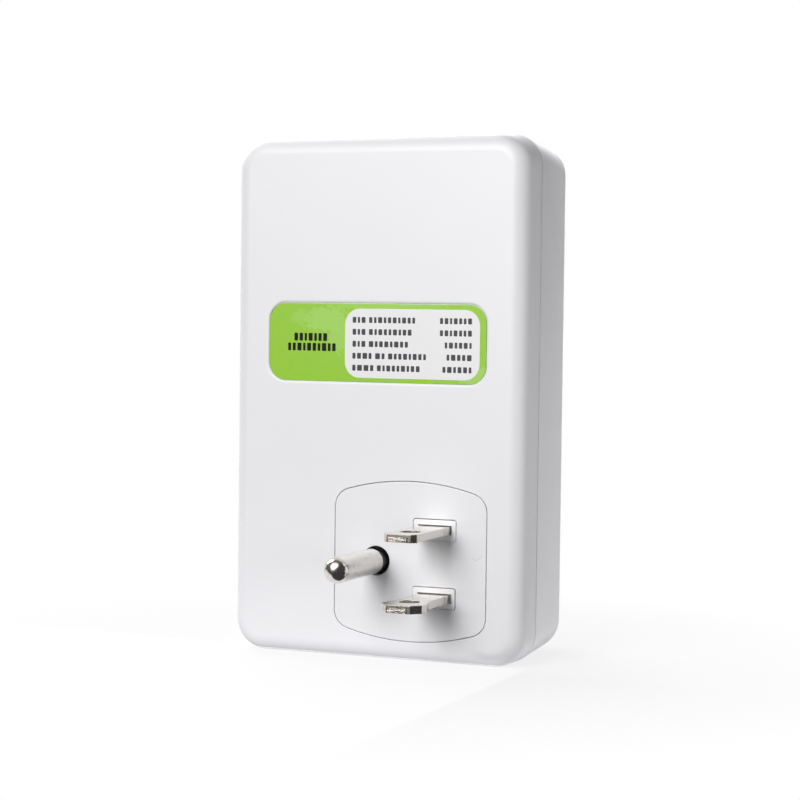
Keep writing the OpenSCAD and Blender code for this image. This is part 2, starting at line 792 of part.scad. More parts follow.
module ground_contact() {
    tab_side = plate_x + block_half_w + tab_out;
    color([0.82, 0.68, 0.35]) translate([0, 0, plug_z]) {
        for (s = [-1, 1])
            translate([ground_x + s * (ground_leaf_gap + contact_t / 2) - contact_t / 2,
                       front_y + leaf_start, -ground_leaf_h / 2])
                cube([contact_t, leaf_len + contact_t, ground_leaf_h]);
        translate([ground_x - ground_leaf_gap - contact_t, bridge_y, -ground_leaf_h / 2])
            cube([2 * (ground_leaf_gap + contact_t), contact_t, ground_leaf_h]);
        translate([ground_x, bridge_y, -contact_tab_w / 2])
            cube([tab_side - ground_x, contact_t, contact_tab_w]);
    }
}

// Bent strip from a pin's tail to the tab of the contact in line with it; side is 1 or -1
module link_strip(start_x, side) {
    inner = rear_y - retainer_back;
    tab = bridge_y + contact_t;
    out = plate_x + side * (block_half_w + tab_out);
    back = out - side * strap_t;
    translate([0, 0, -strap_w / 2]) linear_extrude(height = strap_w) polygon([
        [start_x, inner], [out, inner], [out, tab], [back, tab], [back, inner - strap_t],
        [start_x, inner - strap_t]
    ]);
}

module neutral_strap() {
    color([0.72, 0.5, 0.3]) difference() {
        translate([0, 0, neutral_z]) link_strip(blade_x + tail_w / 2 + over, -1);
        from_rear(retainer_back - over, tail_len + over) translate([blade_x, neutral_z])
            square([tail_w + 2 * seat_gap, blade_t + 2 * seat_gap], center = true);
    }
}

module ground_strap() {
    color([0.72, 0.5, 0.3]) difference() {
        translate([0, 0, plug_z]) link_strip(ground_x - pin_tail_r - over, 1);
        from_rear(retainer_back - over, tail_len + over)
            translate([ground_x, plug_z]) disc(pin_tail_r + seat_gap);
    }
}

// Sheet that keeps the plug's tails away from the outlet's contacts
module barrier() {
    color([0.75, 0.45, 0.2]) from_front(block_d + cover_t, barrier_t)
        block_face(block_half_w - barrier_margin, block_half_h);
}

module circuit_board() {
    color([0.13, 0.42, 0.2]) difference() {
        from_rear(board_y, board_t) translate([0, board_z + board_h / 2])
            square([board_w, board_h], center = true);
        from_rear(board_y - over, board_t + 2 * over) at_case_screws() disc(screw_r + side_gap);
    }
}

// Places its children in the relay's frame
module relay_frame() {
    on_board(relay_place_share) children();
}

module relay_base() {
    inner_l = relay_l - 2 * (relay_wall + seat_gap);
    inner_w = relay_w - 2 * (relay_wall + seat_gap);
    color([0.12, 0.12, 0.13]) relay_frame() difference() {
        translate([-inner_l / 2, -inner_w / 2, 0]) cube([inner_l, inner_w, relay_lift + relay_base_t]);
        translate([0, 0, -over]) linear_extrude(height = relay_base_t + 3 * over)
            terminal_holes(seat_gap);
    }
}

module relay_cover() {
    color([0.1, 0.25, 0.5]) relay_frame() difference() {
        translate([-relay_l / 2, -relay_w / 2, relay_lift]) cube([relay_l, relay_w, relay_h - relay_lift]);
        translate([-relay_l / 2 + relay_wall, -relay_w / 2 + relay_wall, relay_lift - over])
            cube([relay_l - 2 * relay_wall, relay_w - 2 * relay_wall,
                  relay_h - relay_lift - relay_wall + over]);
    }
}

module relay_bobbin() {
    color([0.9, 0.88, 0.8]) relay_frame() translate([coil_x, 0, yoke_z + yoke_t]) difference() {
        union() {
            for (z = [0, bobbin_h - bobbin_t - pole_gap]) translate([-bobbin_half, -yoke_w / 2, z])
                cube([2 * bobbin_half, yoke_w, bobbin_t]);
            cylinder(r = barrel_r, h = bobbin_h - pole_gap, $fn = round_fn);
        }
        translate([0, 0, -over]) cylinder(r = core_r + tap_gap, h = bobbin_h + 2 * over, $fn = round_fn);
    }
}

module relay_coil() {
    color([0.72, 0.4, 0.2]) relay_frame()
        translate([coil_x, 0, yoke_z + yoke_t + bobbin_t]) difference() {
            cylinder(r = coil_r, h = bobbin_h - 2 * bobbin_t - pole_gap, $fn = round_fn);
            translate([0, 0, -over])
                cylinder(r = barrel_r, h = bobbin_h + 2 * over, $fn = round_fn);
        }
}

module relay_core() {
    color([0.6, 0.6, 0.62]) relay_frame() translate([coil_x, 0, yoke_z])
        cylinder(r = core_r, h = yoke_t + bobbin_h, $fn = round_fn);
}

module relay_yoke() {
    rise = armature_z - rest_gap - yoke_z;
    color([0.6, 0.6, 0.62]) relay_frame() difference() {
        union() {
            translate([yoke_x, -yoke_w / 2, yoke_z]) cube([yoke_t, yoke_w, rise]);
            translate([yoke_x, -yoke_w / 2, yoke_z]) cube([coil_x + coil_r - yoke_x, yoke_w, yoke_t]);
        }
        translate([coil_x, 0, yoke_z - over])
            cylinder(r = core_r + tap_gap, h = yoke_t + 2 * over, $fn = round_fn);
    }
}

// Moving piece: soft-iron plate, contact spring riveted on it, and the contact button
module relay_armature() {
    color([0.75, 0.68, 0.5]) relay_frame() {
        translate([yoke_x, -armature_w / 2, armature_z])
            cube([armature_end - yoke_x, armature_w, armature_t]);
        translate([yoke_x + yoke_t, -leaf_w / 2, leaf_z])
            cube([leaf_end - yoke_x - yoke_t, leaf_w, leaf_t]);
        translate([button_x, 0, leaf_z - button_t])
            cylinder(r = button_r, h = button_t + leaf_t, $fn = round_fn);
    }
}

// Places of the relay's three thin pins
relay_pins = [for (s = concat(coil_pin_shares, [common_pin_share])) [s[0] * relay_l, s[1] * relay_w]];

// Outlines of the relay's terminals, grown by a gap
module terminal_holes(gap) {
    for (p = relay_pins) translate(p) square([pin_w + 2 * gap, pin_w + 2 * gap], center = true);
    translate([terminal_x - terminal_t / 2, 0])
        square([terminal_t + 2 * gap, terminal_w + 2 * gap], center = true);
}

module relay_terminals() {
    base_top = relay_lift + relay_base_t;
    arm_z = leaf_z - button_t - contact_gap - button_t - terminal_t;
    color([0.78, 0.74, 0.66]) relay_frame() {
        for (p = relay_pins) translate([p[0] - pin_w / 2, p[1] - pin_w / 2, 0])
            cube([pin_w, pin_w, base_top + over]);
        translate([terminal_x - terminal_t, -terminal_w / 2, 0])
            cube([terminal_t, terminal_w, arm_z + terminal_t]);
        translate([button_x - button_r, -terminal_w / 2, arm_z])
            cube([terminal_x - button_x + button_r, terminal_w, terminal_t]);
        translate([button_x, 0, arm_z])
            cylinder(r = button_r, h = terminal_t + button_t, $fn = round_fn);
    }
}

// Centred box standing on the board
module board_box(size, share) {
    on_board(share) translate([-size[0] / 2, -size[1] / 2, 0]) cube(size);
}

module film_capacitor() {
    color([0.85, 0.7, 0.15]) board_box(film_size, film_place_share);
}

module varistor() {
    color([0.1, 0.3, 0.6]) on_board(varistor_place_share)
        translate([0, varistor_t / 2, varistor_r]) rotate([90, 0, 0])
            cylinder(r = varistor_r, h = varistor_t, $fn = round_fn);
}

module electrolytic_capacitors() {
    color([0.15, 0.15, 0.3]) for (i = [0:len(can_sizes) - 1])
        on_board(can_place_shares[i]) cylinder(r = can_sizes[i][0], h = can_sizes[i][1], $fn = round_fn);
}

module rectifier() {
    color([0.1, 0.1, 0.1]) board_box(bridge_size, bridge_place_share);
}

module controller_chip() {
    color([0.08, 0.08, 0.09]) board_box(chip_size, chip_place_share);
}

module transistor() {
    color([0.1, 0.1, 0.1]) on_board(transistor_place_share) {
        difference() {
            translate([0, 0, transistor_lift]) cylinder(r = transistor_r, h = transistor_h, $fn = round_fn);
            translate([-transistor_r, transistor_r / 2, transistor_lift - over])
                cube([2 * transistor_r, transistor_r, transistor_h + 2 * over]);
        }
        for (s = [-1, 0, 1]) translate([s * transistor_r / 2, 0, 0])
            cylinder(r = lead_r, h = transistor_lift + over, $fn = round_fn);
    }
}

// Small round body that lies along X on the board
module axial(r, length, share) {
    on_board(share) translate([-length / 2, 0, r]) rotate([0, 90, 0])
        cylinder(r = r, h = length, $fn = round_fn);
}

module resistors() {
    color([0.8, 0.7, 0.5]) for (share = resistor_place_shares)
        axial(resistor_r, resistor_len, share);
}

module diodes() {
    color([0.12, 0.12, 0.12]) for (share = diode_place_shares)
        axial(diode_r, diode_len, share);
}

module ceramic_capacitors() {
    color([0.8, 0.55, 0.2]) for (share = ceramic_place_shares)
        board_box(ceramic_size, share);
}

// Places of the three lamps, seen along Y
lamp_steps = [-1, 0, 1];

module at_lamps() {
    for (s = lamp_steps) translate([s * lamp_pitch, lamp_z]) children();
}

// Domed lamp in the front wall, with its rim inside
module lamp(step) {
    r = lamp_d / 2;
    body = wall_t + lamp_proud + lamp_rim_t - r;
    translate([step * lamp_pitch, front_y - lamp_proud + r, lamp_z]) {
        sphere(r = r, $fn = round_fn);
        rotate([-90, 0, 0]) cylinder(r = r, h = body, $fn = round_fn);
        translate([0, body - lamp_rim_t + seat_gap, 0]) rotate([-90, 0, 0])
            cylinder(r = r + lamp_rim, h = lamp_rim_t, $fn = round_fn);
    }
}

module green_lamp() {
    color([0.2, 0.7, 0.3]) lamp(lamp_steps[0]);
}

module yellow_lamp() {
    color([0.9, 0.75, 0.2]) lamp(lamp_steps[1]);
}

module red_lamp() {
    color([0.8, 0.15, 0.12]) lamp(lamp_steps[2]);
}

module lamp_leads() {
    top = body_d - board_y - board_t - wall_t - lamp_rim_t - seat_gap;
    color([0.8, 0.8, 0.8]) for (s = lamp_steps, t = [-1, 1])
        translate([s * lamp_pitch + t * lead_pitch / 2, board_front, lamp_z]) rotate([90, 0, 0])
            cylinder(r = lead_r, h = top, $fn = round_fn);
}

// Tube along a route: one ring of points at each route point, square to the route there
function unit(v) = v / norm(v);
function tangent(route, i) = unit(route[min(i + 1, len(route) - 1)] - route[max(i - 1, 0)]);
steep_share = 0.9;
function side_of(t) = unit(cross(t, abs(t[0]) < steep_share ? [1, 0, 0] : [0, 1, 0]));
function carried(route, i) = i == 0 ? side_of(tangent(route, 0))
    : let (t = tangent(route, i), s = carried(route, i - 1)) unit(s - (s * t) * t);
function ring(route, i, r) = let (t = tangent(route, i), s = carried(route, i), u = cross(t, s))
    [for (k = [0:wire_fn - 1]) route[i] + r * (cos(360 * k / wire_fn) * s + sin(360 * k / wire_fn) * u)];

module wire(route, r) {
    rings = len(route);
    points = [for (i = [0:rings - 1]) each ring(route, i, r)];
    walls = [for (i = [0:rings - 2], k = [0:wire_fn - 1]) let (n = (k + 1) % wire_fn, a = i * wire_fn)
        [a + k, a + n, a + wire_fn + n, a + wire_fn + k]];
    first = [for (k = [wire_fn - 1:-1:0]) k];
    last = [for (k = [0:wire_fn - 1]) (rings - 1) * wire_fn + k];
    polyhedron(points = points, faces = [for (f = concat(walls, [first, last])) reversed(f)]);
}

module hot_in_wire() {
    color([0.1, 0.1, 0.1]) wire(hot_in_route, power_wire_r);
}

module hot_out_wire() {
    color([0.1, 0.1, 0.1]) wire(hot_out_route, power_wire_r);
}

module neutral_wire() {
    color([0.9, 0.9, 0.9]) wire(neutral_route, thin_wire_r);
}

rear_shell();
front_shell();
plug_plate();
blade_carrier();
blade_retainer();
ground_bush();
hot_blade();
neutral_blade();
ground_pin();
carrier_screws();
rating_label();
case_screws();
outlet_face();
outlet_block();
outlet_cover();
outlet_screws();
hot_contact();
neutral_contact();
ground_contact();
neutral_strap();
ground_strap();
barrier();
circuit_board();
relay_base();
relay_cover();
relay_bobbin();
relay_coil();
relay_core();
relay_yoke();
relay_armature();
relay_terminals();
film_capacitor();
varistor();
electrolytic_capacitors();
rectifier();
controller_chip();
transistor();
resistors();
diodes();
ceramic_capacitors();
green_lamp();
yellow_lamp();
red_lamp();
lamp_leads();
hot_in_wire();
hot_out_wire();
neutral_wire();
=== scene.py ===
"""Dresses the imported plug-in voltage protector for its render.

The housing, the inlaid plates, the label, the plug's metal, the lamps and the wires are new
surfaces that stand for their CAD solids. The pieces inside keep their CAD shapes and get the
finish of the real part. Sizes are in millimetres until a mesh is made; +Z is up, the rear face
with the plug looks towards +Y, and the front face with the outlet towards -Y.
"""

import json
import logging
import math
from dataclasses import dataclass
from enum import Enum
from functools import cache
from typing import Sequence

import bmesh
import bpy
import numpy as np
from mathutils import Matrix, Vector
from mathutils.geometry import tessellate_polygon

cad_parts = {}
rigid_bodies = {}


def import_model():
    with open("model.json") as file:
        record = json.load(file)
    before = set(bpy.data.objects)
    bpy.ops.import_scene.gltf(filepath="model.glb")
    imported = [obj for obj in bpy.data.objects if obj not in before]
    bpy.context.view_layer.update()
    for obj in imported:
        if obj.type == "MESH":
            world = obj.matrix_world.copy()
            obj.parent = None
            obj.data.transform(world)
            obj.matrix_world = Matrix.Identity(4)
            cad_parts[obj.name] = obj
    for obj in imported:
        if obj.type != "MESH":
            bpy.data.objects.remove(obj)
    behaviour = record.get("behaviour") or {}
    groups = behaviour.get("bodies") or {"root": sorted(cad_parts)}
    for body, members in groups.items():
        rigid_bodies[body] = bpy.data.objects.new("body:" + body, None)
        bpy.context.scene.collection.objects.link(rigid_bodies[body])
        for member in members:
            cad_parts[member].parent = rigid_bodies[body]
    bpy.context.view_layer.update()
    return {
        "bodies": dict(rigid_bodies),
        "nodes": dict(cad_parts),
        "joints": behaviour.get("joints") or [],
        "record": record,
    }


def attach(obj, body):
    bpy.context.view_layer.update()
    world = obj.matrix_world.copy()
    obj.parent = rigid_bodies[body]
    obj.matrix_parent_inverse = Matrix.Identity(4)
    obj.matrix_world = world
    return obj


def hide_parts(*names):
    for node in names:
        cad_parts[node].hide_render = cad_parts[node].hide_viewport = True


log = logging.getLogger("protector")

Tree = bpy.types.NodeTree
Socket = bpy.types.NodeSocket
Inputs = dict[str, Socket | float]
Pair = tuple[float, float]
Point = tuple[float, float, float]
Colour = tuple[float, float, float, float]

MM = 0.001
MERGE = 1e-7
SMOOTH_ANGLE = math.radians(32)
CORNER_PARTS = 10  # segments of the arched plate's corner
ARCH_PARTS = 14  # segments of half its arch
CARD_TOP = 0.9  # height of the standing cards and of the ceiling, in metres
NOISE = (0.3, 0.7)  # where nearly all of a noise's values lie


class Lie(Enum):
    """How a flat outline (u, v) with a height h lies in space."""

    ON_FACE = "u along X, v along Z, height along Y"
    LEVEL = "u along X, v along Y, height along Z"


class Form(Enum):
    """Which surface of a shell is meant."""

    OUTER = "outer"
    INNER = "inner"


class CardUse(Enum):
    """What sees a card: reflections, the floor's light on the object, or both."""

    REFLECTION = "reflection"
    FELT = "felt"
    FLAG = "flag"


# Colour and nodes


def linear(hex_colour: str) -> Colour:
    """Turns an sRGB hex colour into linear red, green, blue and alpha.

    Args:
        hex_colour: six hex digits after a number sign.

    Returns:
        The four values that a colour socket takes.
    """
    parts = [int(hex_colour[i:i + 2], 16) / 255 for i in (1, 3, 5)]
    values = [c / 12.92 if c <= 0.04045 else ((c + 0.055) / 1.055) ** 2.4 for c in parts]
    return (values[0], values[1], values[2], 1.0)


def per_mm(size_mm: float) -> float:
    """Scale of a pattern whose repeat is size_mm, on coordinates in metres."""
    return 1 / (size_mm * MM)


def add(tree: Tree, kind: str, inputs: dict | Sequence = (), out: int | str = 0,
        **settings: object) -> Socket | None:
    """Adds one shader node with its settings, and with values or links on its inputs.

    Args:
        tree: the node tree.
        kind: Blender's name for the kind of node, after ShaderNode.
        inputs: values or outputs to link, in the order of the inputs or by name or number.
        out: name or number of the output that is wanted.
        settings: properties of the node.

    Returns:
        That output, if the node has outputs.
    """
    node = tree.nodes.new("ShaderNode" + kind)
    for key, value in settings.items():
        setattr(node, key, value)
    for key, value in inputs.items() if isinstance(inputs, dict) else enumerate(inputs):
        if isinstance(value, Socket):
            tree.links.new(value, node.inputs[key])
        else:
            node.inputs[key].default_value = value
    return node.outputs[out] if node.outputs else None


def object_place(tree: Tree) -> Socket:
    """The place on the piece, in metres."""
    return add(tree, "TexCoord", out="Object")


def painted(tree: Tree, ground: Colour, *layers: tuple[Socket, Colour]) -> Socket:
    """Lays colours over a ground colour, each by its own share.

    Args:
        tree: the node tree.
        ground: the linear colour below.
        layers: for each layer its share and its linear colour.

    Returns:
        The mixed colour.
    """
    skin: Socket | Colour = ground
    for share, colour in layers:
        skin = add(tree, "Mix", {0: share, 6: skin, 7: colour}, 2, data_type="RGBA")
    return skin


def grains(tree: Tree, size_mm: float, detail: float, stretch: Point = (1, 1, 1)) -> Socket:
    """Noise with grains of a real size.

    Args:
        tree: the node tree.
        size_mm: width of a grain.
        detail: how many finer layers it has.
        stretch: how many times longer the grains are along each axis.

    Returns:
        The noise's value.
    """
    scaled = add(tree, "Mapping", {
        "Vector": object_place(tree), "Scale": tuple(1 / s for s in stretch)})
    return add(tree, "TexNoise", {
        "Vector": scaled, "Scale": per_mm(size_mm), "Detail": detail}, "Fac")


def ramps(tree: Tree, *steps: tuple[Socket, float, float, float, float]) -> Socket:
    """The product of ramps.

    Args:
        tree: the node tree.
        steps: for each ramp a value, the two ends of the range that is mapped, and the results
            at these ends.

    Returns:
        The product.
    """
    total: Socket | float = 1.0
    for step in steps:
        total = add(tree, "Math", [total, add(tree, "MapRange", step)], operation="MULTIPLY")
    return total


def embossed(tree: Tree, *reliefs: tuple[Socket, float]) -> Socket:
    """Surface direction over reliefs of a real depth, each on the one before.

    Args:
        tree: the node tree.
        reliefs: for each a height between 0 and 1, and the millimetres that 1 stands for.

    Returns:
        The direction for the shader's Normal input.
    """
    under: dict[str, Socket] = {}
    for height, depth_mm in reliefs:
        under = {"Normal": add(tree, "Bump", {
            "Height": height, "Distance": depth_mm * MM, **under})}
    return under["Normal"]


@dataclass(frozen=True)
class Finish:
    """What every finish has: a name, a colour and one shader that its patterns feed."""

    name: str
    colour: str
    roughness: float = 0.4
    stray: Pair = (0.0, 0.1)

    def gloss(self, tree: Tree, noise: Socket) -> Socket:
        """Roughness that strays from its middle value with a noise."""
        low, high = self.stray
        return add(tree, "MapRange", [noise, *NOISE, self.roughness + low,
                                      self.roughness + high])

    def surface(self, tree: Tree) -> Inputs:
        """Builds the patterns.

        Args:
            tree: the material's node tree.

        Returns:
            For each input of the shader that changes, its value or the output that feeds it.
        """
        raise NotImplementedError

    @cache
    def material(self) -> bpy.types.Material:
        """Makes the material, once for each finish.

        Returns:
            The material, with one shader on its output.
        """
        material = bpy.data.materials.new(self.name)
        material.use_nodes = True
        tree = material.node_tree
        tree.nodes.clear()
        add(tree, "OutputMaterial", [add(tree, "BsdfPrincipled", self.surface(tree))])
        material.diffuse_color = linear(self.colour)
        return material


@dataclass(frozen=True)
class MouldedPlastic(Finish):
    """Injection-moulded plastic: an even body colour under the skin that the mould leaves.

    Broad flow clouds shift the colour a little, and the mould's fine eroded texture breaks up
    the gloss.
    """

    stray: Pair = (-0.04, 0.05)
    cloud: float = 0.015
    cloud_mm: float = 14.0
    cloud_share: float = 0.5
    grain_mm: float = 0.22
    grain_depth_mm: float = 0.006
    ior: float = 1.53
    mark_colour: str = "#dcdce1"
    mark_mm: float = 0.1
    marks: tuple[tuple[Point, Point], ...] = ()

    def marked(self, tree: Tree) -> Socket:
        """Share of handling marks, each a thin line between two points in millimetres.

        A point's distance from a line is its distance from the nearest place on it, found by
        projecting it on the line and keeping the share of the way between 0 and 1.

        Args:
            tree: the material's node tree.

        Returns:
            The share, 1 on a mark and 0 off it.
        """
        place, near = object_place(tree), 1.0
        for first, last in self.marks:
            start, way = Vector(first) * MM, (Vector(last) - Vector(first)) * MM
            away = add(tree, "VectorMath", [place, tuple(start)], operation="SUBTRACT")
            along = add(tree, "VectorMath", [away, tuple(way / way.length_squared)], "Value",
                        operation="DOT_PRODUCT")
            kept = add(tree, "MapRange", [along, 0, 1, 0, 1])
            foot = add(tree, "VectorMath", {0: tuple(way), "Scale": kept}, operation="SCALE")
            far = add(tree, "VectorMath", [away, foot], "Value", operation="DISTANCE")
            near = add(tree, "Math", [near, far], operation="MINIMUM")
        return add(tree, "MapRange", [near, 0.3 * self.mark_mm * MM, self.mark_mm * MM, 1, 0])

    def surface(self, tree: Tree) -> Inputs:
        """Builds the clouds, the marks, the texture's relief and the varied gloss.

        Args:
            tree: the material's node tree.

        Returns:
            What the shader's inputs get.
        """
        base = linear(self.colour)
        dark = tuple(c * (1 - self.cloud * 4) for c in base[:3]) + (1.0,)
        clouds = grains(tree, self.cloud_mm, 3)
        layers = [(add(tree, "MapRange", [clouds, *NOISE, 0, self.cloud_share]), dark)]
        if self.marks:
            layers.append((self.marked(tree), linear(self.mark_colour)))
        grain = grains(tree, self.grain_mm, 1)
        return {"Base Color": painted(tree, base, *layers), "IOR": self.ior,
                "Roughness": self.gloss(tree, grain),
                "Normal": embossed(tree, (grain, self.grain_depth_mm))}


@dataclass(frozen=True)
class PlatedMetal(Finish):
    """Nickel-plated or bare sheet and wire: a tinted mirror, dulled by drawing or rolling.

    Fine lines run along the metal, and faint warm specks show where the plating is thin. On a
    stamped blade the punched walls of the tip, which stand across Z, carry upright shear lines,
    and the middle of the end has a torn relief whose colour is painted paler than the nickel as a
    painted glitter highlight; on each side of it the end is painted darker.
    """

    roughness: float = 0.24
    stray: Pair = (-0.05, 0.09)
    speck_colour: str = "#9a8878"
    line_mm: float = 0.12
    line_length: Point = (1, 14, 1)
    line_depth_mm: float = 0.0016
    speck_mm: float = 0.35
    speck_share: float = 0.35
    speck_at: Pair = (0.56, 0.72)
    sheared_colour: str = ""
    shear_mm: float = 0.2
    shear_length: Point = (1, 1, 12)
    shear_depth_mm: float = 0.008
    shear_share: Pair = (0.1, 0.9)
    shear_dull: float = 0.08
    upright_at: Pair = (0.2, 0.6)
    shear_from_mm: float = 0.0
    torn_painted_glitter_colour: str = "#f0e4dc"
    torn_from_mm: float = 0.0
    torn_middle_mm: float = 0.0
    torn_half_mm: float = 1.8
    torn_z_mm: Pair = (-0.66, 0.16)
    torn_mm: float = 0.32
    torn_length: Point = (2.4, 1, 1)
    torn_depth_mm: float = 0.13
    dark_side_colour: str = "#4a4440"
    dark_side_mm: float = 0.24
    edge_mm: float = 0.05
    rows_mm: Pair = (25.0, 12.7)

    def sheared(self, tree: Tree) -> tuple[Socket, Socket, Socket]:
        """Finds the tip's punched walls, the torn middle of its end and a darker band on each side
        of it.

        A wall is where the surface's direction has little of Z. The tip's walls are past
        shear_from_mm along Y, and the torn middle is past torn_from_mm, no further than
        torn_half_mm from torn_middle_mm along X and between torn_z_mm about the middle of
        its blade. The blades' middles are rows_mm apart, and its first value is one of them.

        Args:
            tree: the node tree.

        Returns:
            The shares of the tip's wall, of torn metal and of the darker sides.
        """
        facing = add(tree, "SeparateXYZ", [add(tree, "NewGeometry", out="True Normal")], "Z")
        upright = add(tree, "Math", [facing], operation="ABSOLUTE")
        x, y, z = add(tree, "SeparateXYZ", [object_place(tree)]).node.outputs
        start, end, middle, half, dark_side, edge, row, apart, low, high = (v * MM for v in (
            self.shear_from_mm, self.torn_from_mm, self.torn_middle_mm, self.torn_half_mm,
            self.dark_side_mm, self.edge_mm, *self.rows_mm, *self.torn_z_mm))
        off = add(tree, "Math", [x, middle], operation="SUBTRACT")
        side = add(tree, "Math", [off], operation="ABSOLUTE")
        level = add(tree, "Math", [z, row], operation="SUBTRACT")
        height = add(tree, "Math", [level, apart / 2, -apart / 2], operation="WRAP")
        wall = ramps(tree, (upright, *self.upright_at, 1, 0), (y, start, start + 6 * edge, 0, 1))
        band = ramps(tree, (wall, 0, 1, 0, 1), (y, end, end + edge, 0, 1),
                     (height, high, high + 1.2 * edge, 1, 0),
                     (height, low - 1.2 * edge, low, 0, 1))
        torn = ramps(tree, (band, 0, 1, 0, 1), (side, half, half + edge, 1, 0))
        last = half + dark_side
        return wall, torn, ramps(tree, (band, 0, 1, 0, 1), (side, half, half + edge, 0, 1),
                                 (side, last, last + edge, 1, 0))

    def surface(self, tree: Tree) -> Inputs:
        """Builds the lines, the specks, the varied dullness and the punched walls.

        Args:
            tree: the material's node tree.

        Returns:
            What the shader's inputs get.
        """
        lines = grains(tree, self.line_mm, 2, self.line_length)
        specks = [grains(tree, self.speck_mm, 4), *self.speck_at, 0, self.speck_share]
        dullness = self.gloss(tree, lines)
        layers = [(add(tree, "MapRange", specks), linear(self.speck_colour))]
        reliefs = [(lines, self.line_depth_mm)]
        if self.sheared_colour:
            wall, torn, dark_side = self.sheared(tree)
            shear = grains(tree, self.shear_mm, 2, self.shear_length)
            crystals = grains(tree, self.torn_mm, 4, self.torn_length)
            tint = ramps(tree, (wall, 0, 1, 0, 1), (shear, *NOISE, *self.shear_share))
            # the torn middle's paler colour is a painted glitter highlight, and the end is painted
            # darker on each side of it
            layers += [(tint, linear(self.sheared_colour)), (torn, linear(self.torn_painted_glitter_colour)),
                       (dark_side, linear(self.dark_side_colour))]
            reliefs += [(add(tree, "Math", pair, operation="MULTIPLY"), depth) for pair, depth in (
                ((wall, shear), self.shear_depth_mm), ((torn, crystals), self.torn_depth_mm))]
            dullness = add(tree, "Math", [wall, self.shear_dull, dullness],
                           operation="MULTIPLY_ADD")
        return {"Base Color": painted(tree, linear(self.colour), *layers), "Metallic": 1.0,
                "Roughness": dullness, "Normal": embossed(tree, *reliefs)}


@dataclass(frozen=True)
class PrintedFilm(Finish):
    """Printed film with a satin overlaminate: a flat ink colour under a soft uneven gloss.

    Pale sheen is painted into the base colour in patches with torn, slanted edges: a painted sheen
    highlight, with a lower roughness under it. Each patch is given by its middle (x, z), half its
    width and height, and its share.
    """

    roughness: float = 0.34
    stray: Pair = (0.05, -0.03)
    sheen_stray: Pair = (0.05, -0.05)
    sheen_colour: str = "#b4da74"
    sheen_share: float = 0.08
    ior: float = 1.49
    mottle_mm: float = 1.5
    wave_depth_mm: float = 0.004
    painted_sheen_patches: tuple[tuple[float, float, float, float, float], ...] = ()
    stroke_mm: float = 0.34
    stroke_length: float = 3.4
    stroke_turn: float = -38.0
    stroke_noise: Pair = (4.0, 0.6)
    tear: tuple[float, ...] = (0.25, 0.75, -0.9, 0.9)
    oval: tuple[float, ...] = (0.2, 1.6, 1.5, -1.5)
    shown_at: Pair = (0.25, 0.65)

    def strokes(self, tree: Tree) -> Socket:
        """Noise drawn out along slanted strokes.

        Args:
            tree: the material's node tree.

        Returns:
            The noise's value.
        """
        turned = add(tree, "Mapping", {
            "Vector": object_place(tree), "Rotation": (0, math.radians(self.stroke_turn), 0),
            "Scale": (self.stroke_length, 1, 1)}, vector_type="TEXTURE")
        detail, rough = self.stroke_noise
        return add(tree, "TexNoise", {"Vector": turned, "Scale": per_mm(self.stroke_mm),
                                      "Detail": detail, "Roughness": rough}, "Fac")

    def glow(self, tree: Tree) -> Socket:
        """Share of painted sheen: soft ovals whose edges the strokes tear.

        Each oval's height falls from 1.5 in its middle to below 0 outside; the strokes add
        between -0.9 and 0.9, and what lies above 0.45 shows at the patch's own share.

        Args:
            tree: the material's node tree.

        Returns:
            The share, 0 off the patches.
        """
        place, total = object_place(tree), 0.0
        torn = add(tree, "MapRange", [self.strokes(tree), *self.tear])
        for x, z, half_w, half_h, share in self.painted_sheen_patches:
            moved = add(tree, "Mapping", {
                "Vector": place, "Location": (x * MM, 0, z * MM),
                "Scale": (half_w * MM, 1.0, half_h * MM)}, vector_type="TEXTURE")
            flat = add(tree, "VectorMath", [moved, (1, 0, 1)], operation="MULTIPLY")
            away = add(tree, "VectorMath", [flat], "Value", operation="LENGTH")
            height = add(tree, "MapRange", [away, *self.oval])
            ragged = add(tree, "Math", [height, torn], operation="ADD")
            shown = add(tree, "MapRange", [ragged, *self.shown_at, 0, share])
            total = add(tree, "Math", [total, shown], operation="MAXIMUM")
        return total

    def surface(self, tree: Tree) -> Inputs:
        """Builds the ink with its slight mottle, the patches of painted sheen and their gloss.

        Args:
            tree: the material's node tree.

        Returns:
            What the shader's inputs get.
        """
        mottle, sheen = grains(tree, self.mottle_mm, 3), linear(self.sheen_colour)
        layers = [(add(tree, "MapRange", [mottle, *NOISE, 0, self.sheen_share]), sheen)]
        gloss = self.gloss(tree, mottle)
        if self.painted_sheen_patches:
            # painted sheen: the patches lay the pale sheen colour over the ink
            glow = self.glow(tree)
            layers.append((glow, sheen))
            gloss = add(tree, "MapRange", [glow, 0, 1, *(
                self.roughness + stray for stray in self.sheen_stray)])
        return {"Base Color": painted(tree, linear(self.colour), *layers), "IOR": self.ior,
                "Roughness": gloss,
                "Normal": embossed(tree, (mottle, self.wave_depth_mm))}


@dataclass(frozen=True)
class Laminate(Finish):
    """Layered sheet such as glass cloth in resin or pressed fibre: a woven or felted body."""

    roughness: float = 0.5
    weave_colour: str = "#1f6a3a"
    weave_mm: float = 0.45
    weave_sway: float = 0.6
    weave_depth_mm: float = 0.01

    def surface(self, tree: Tree) -> Inputs:
        """Builds two crossed sets of threads and their relief.

        Args:
            tree: the material's node tree.

        Returns:
            What the shader's inputs get.
        """
        threads = [add(tree, "TexWave", {
            "Vector": object_place(tree), "Scale": per_mm(self.weave_mm) / (2 * math.pi),
            "Distortion": self.weave_sway, "Detail": 1.0}, "Fac", bands_direction=way)
            for way in ("X", "Z")]
        crossed = add(tree, "Math", threads, operation="MULTIPLY")
        return {"Base Color": painted(tree, linear(self.colour),
                                      (crossed, linear(self.weave_colour))),
                "Roughness": self.roughness,
                "Normal": embossed(tree, (crossed, self.weave_depth_mm))}


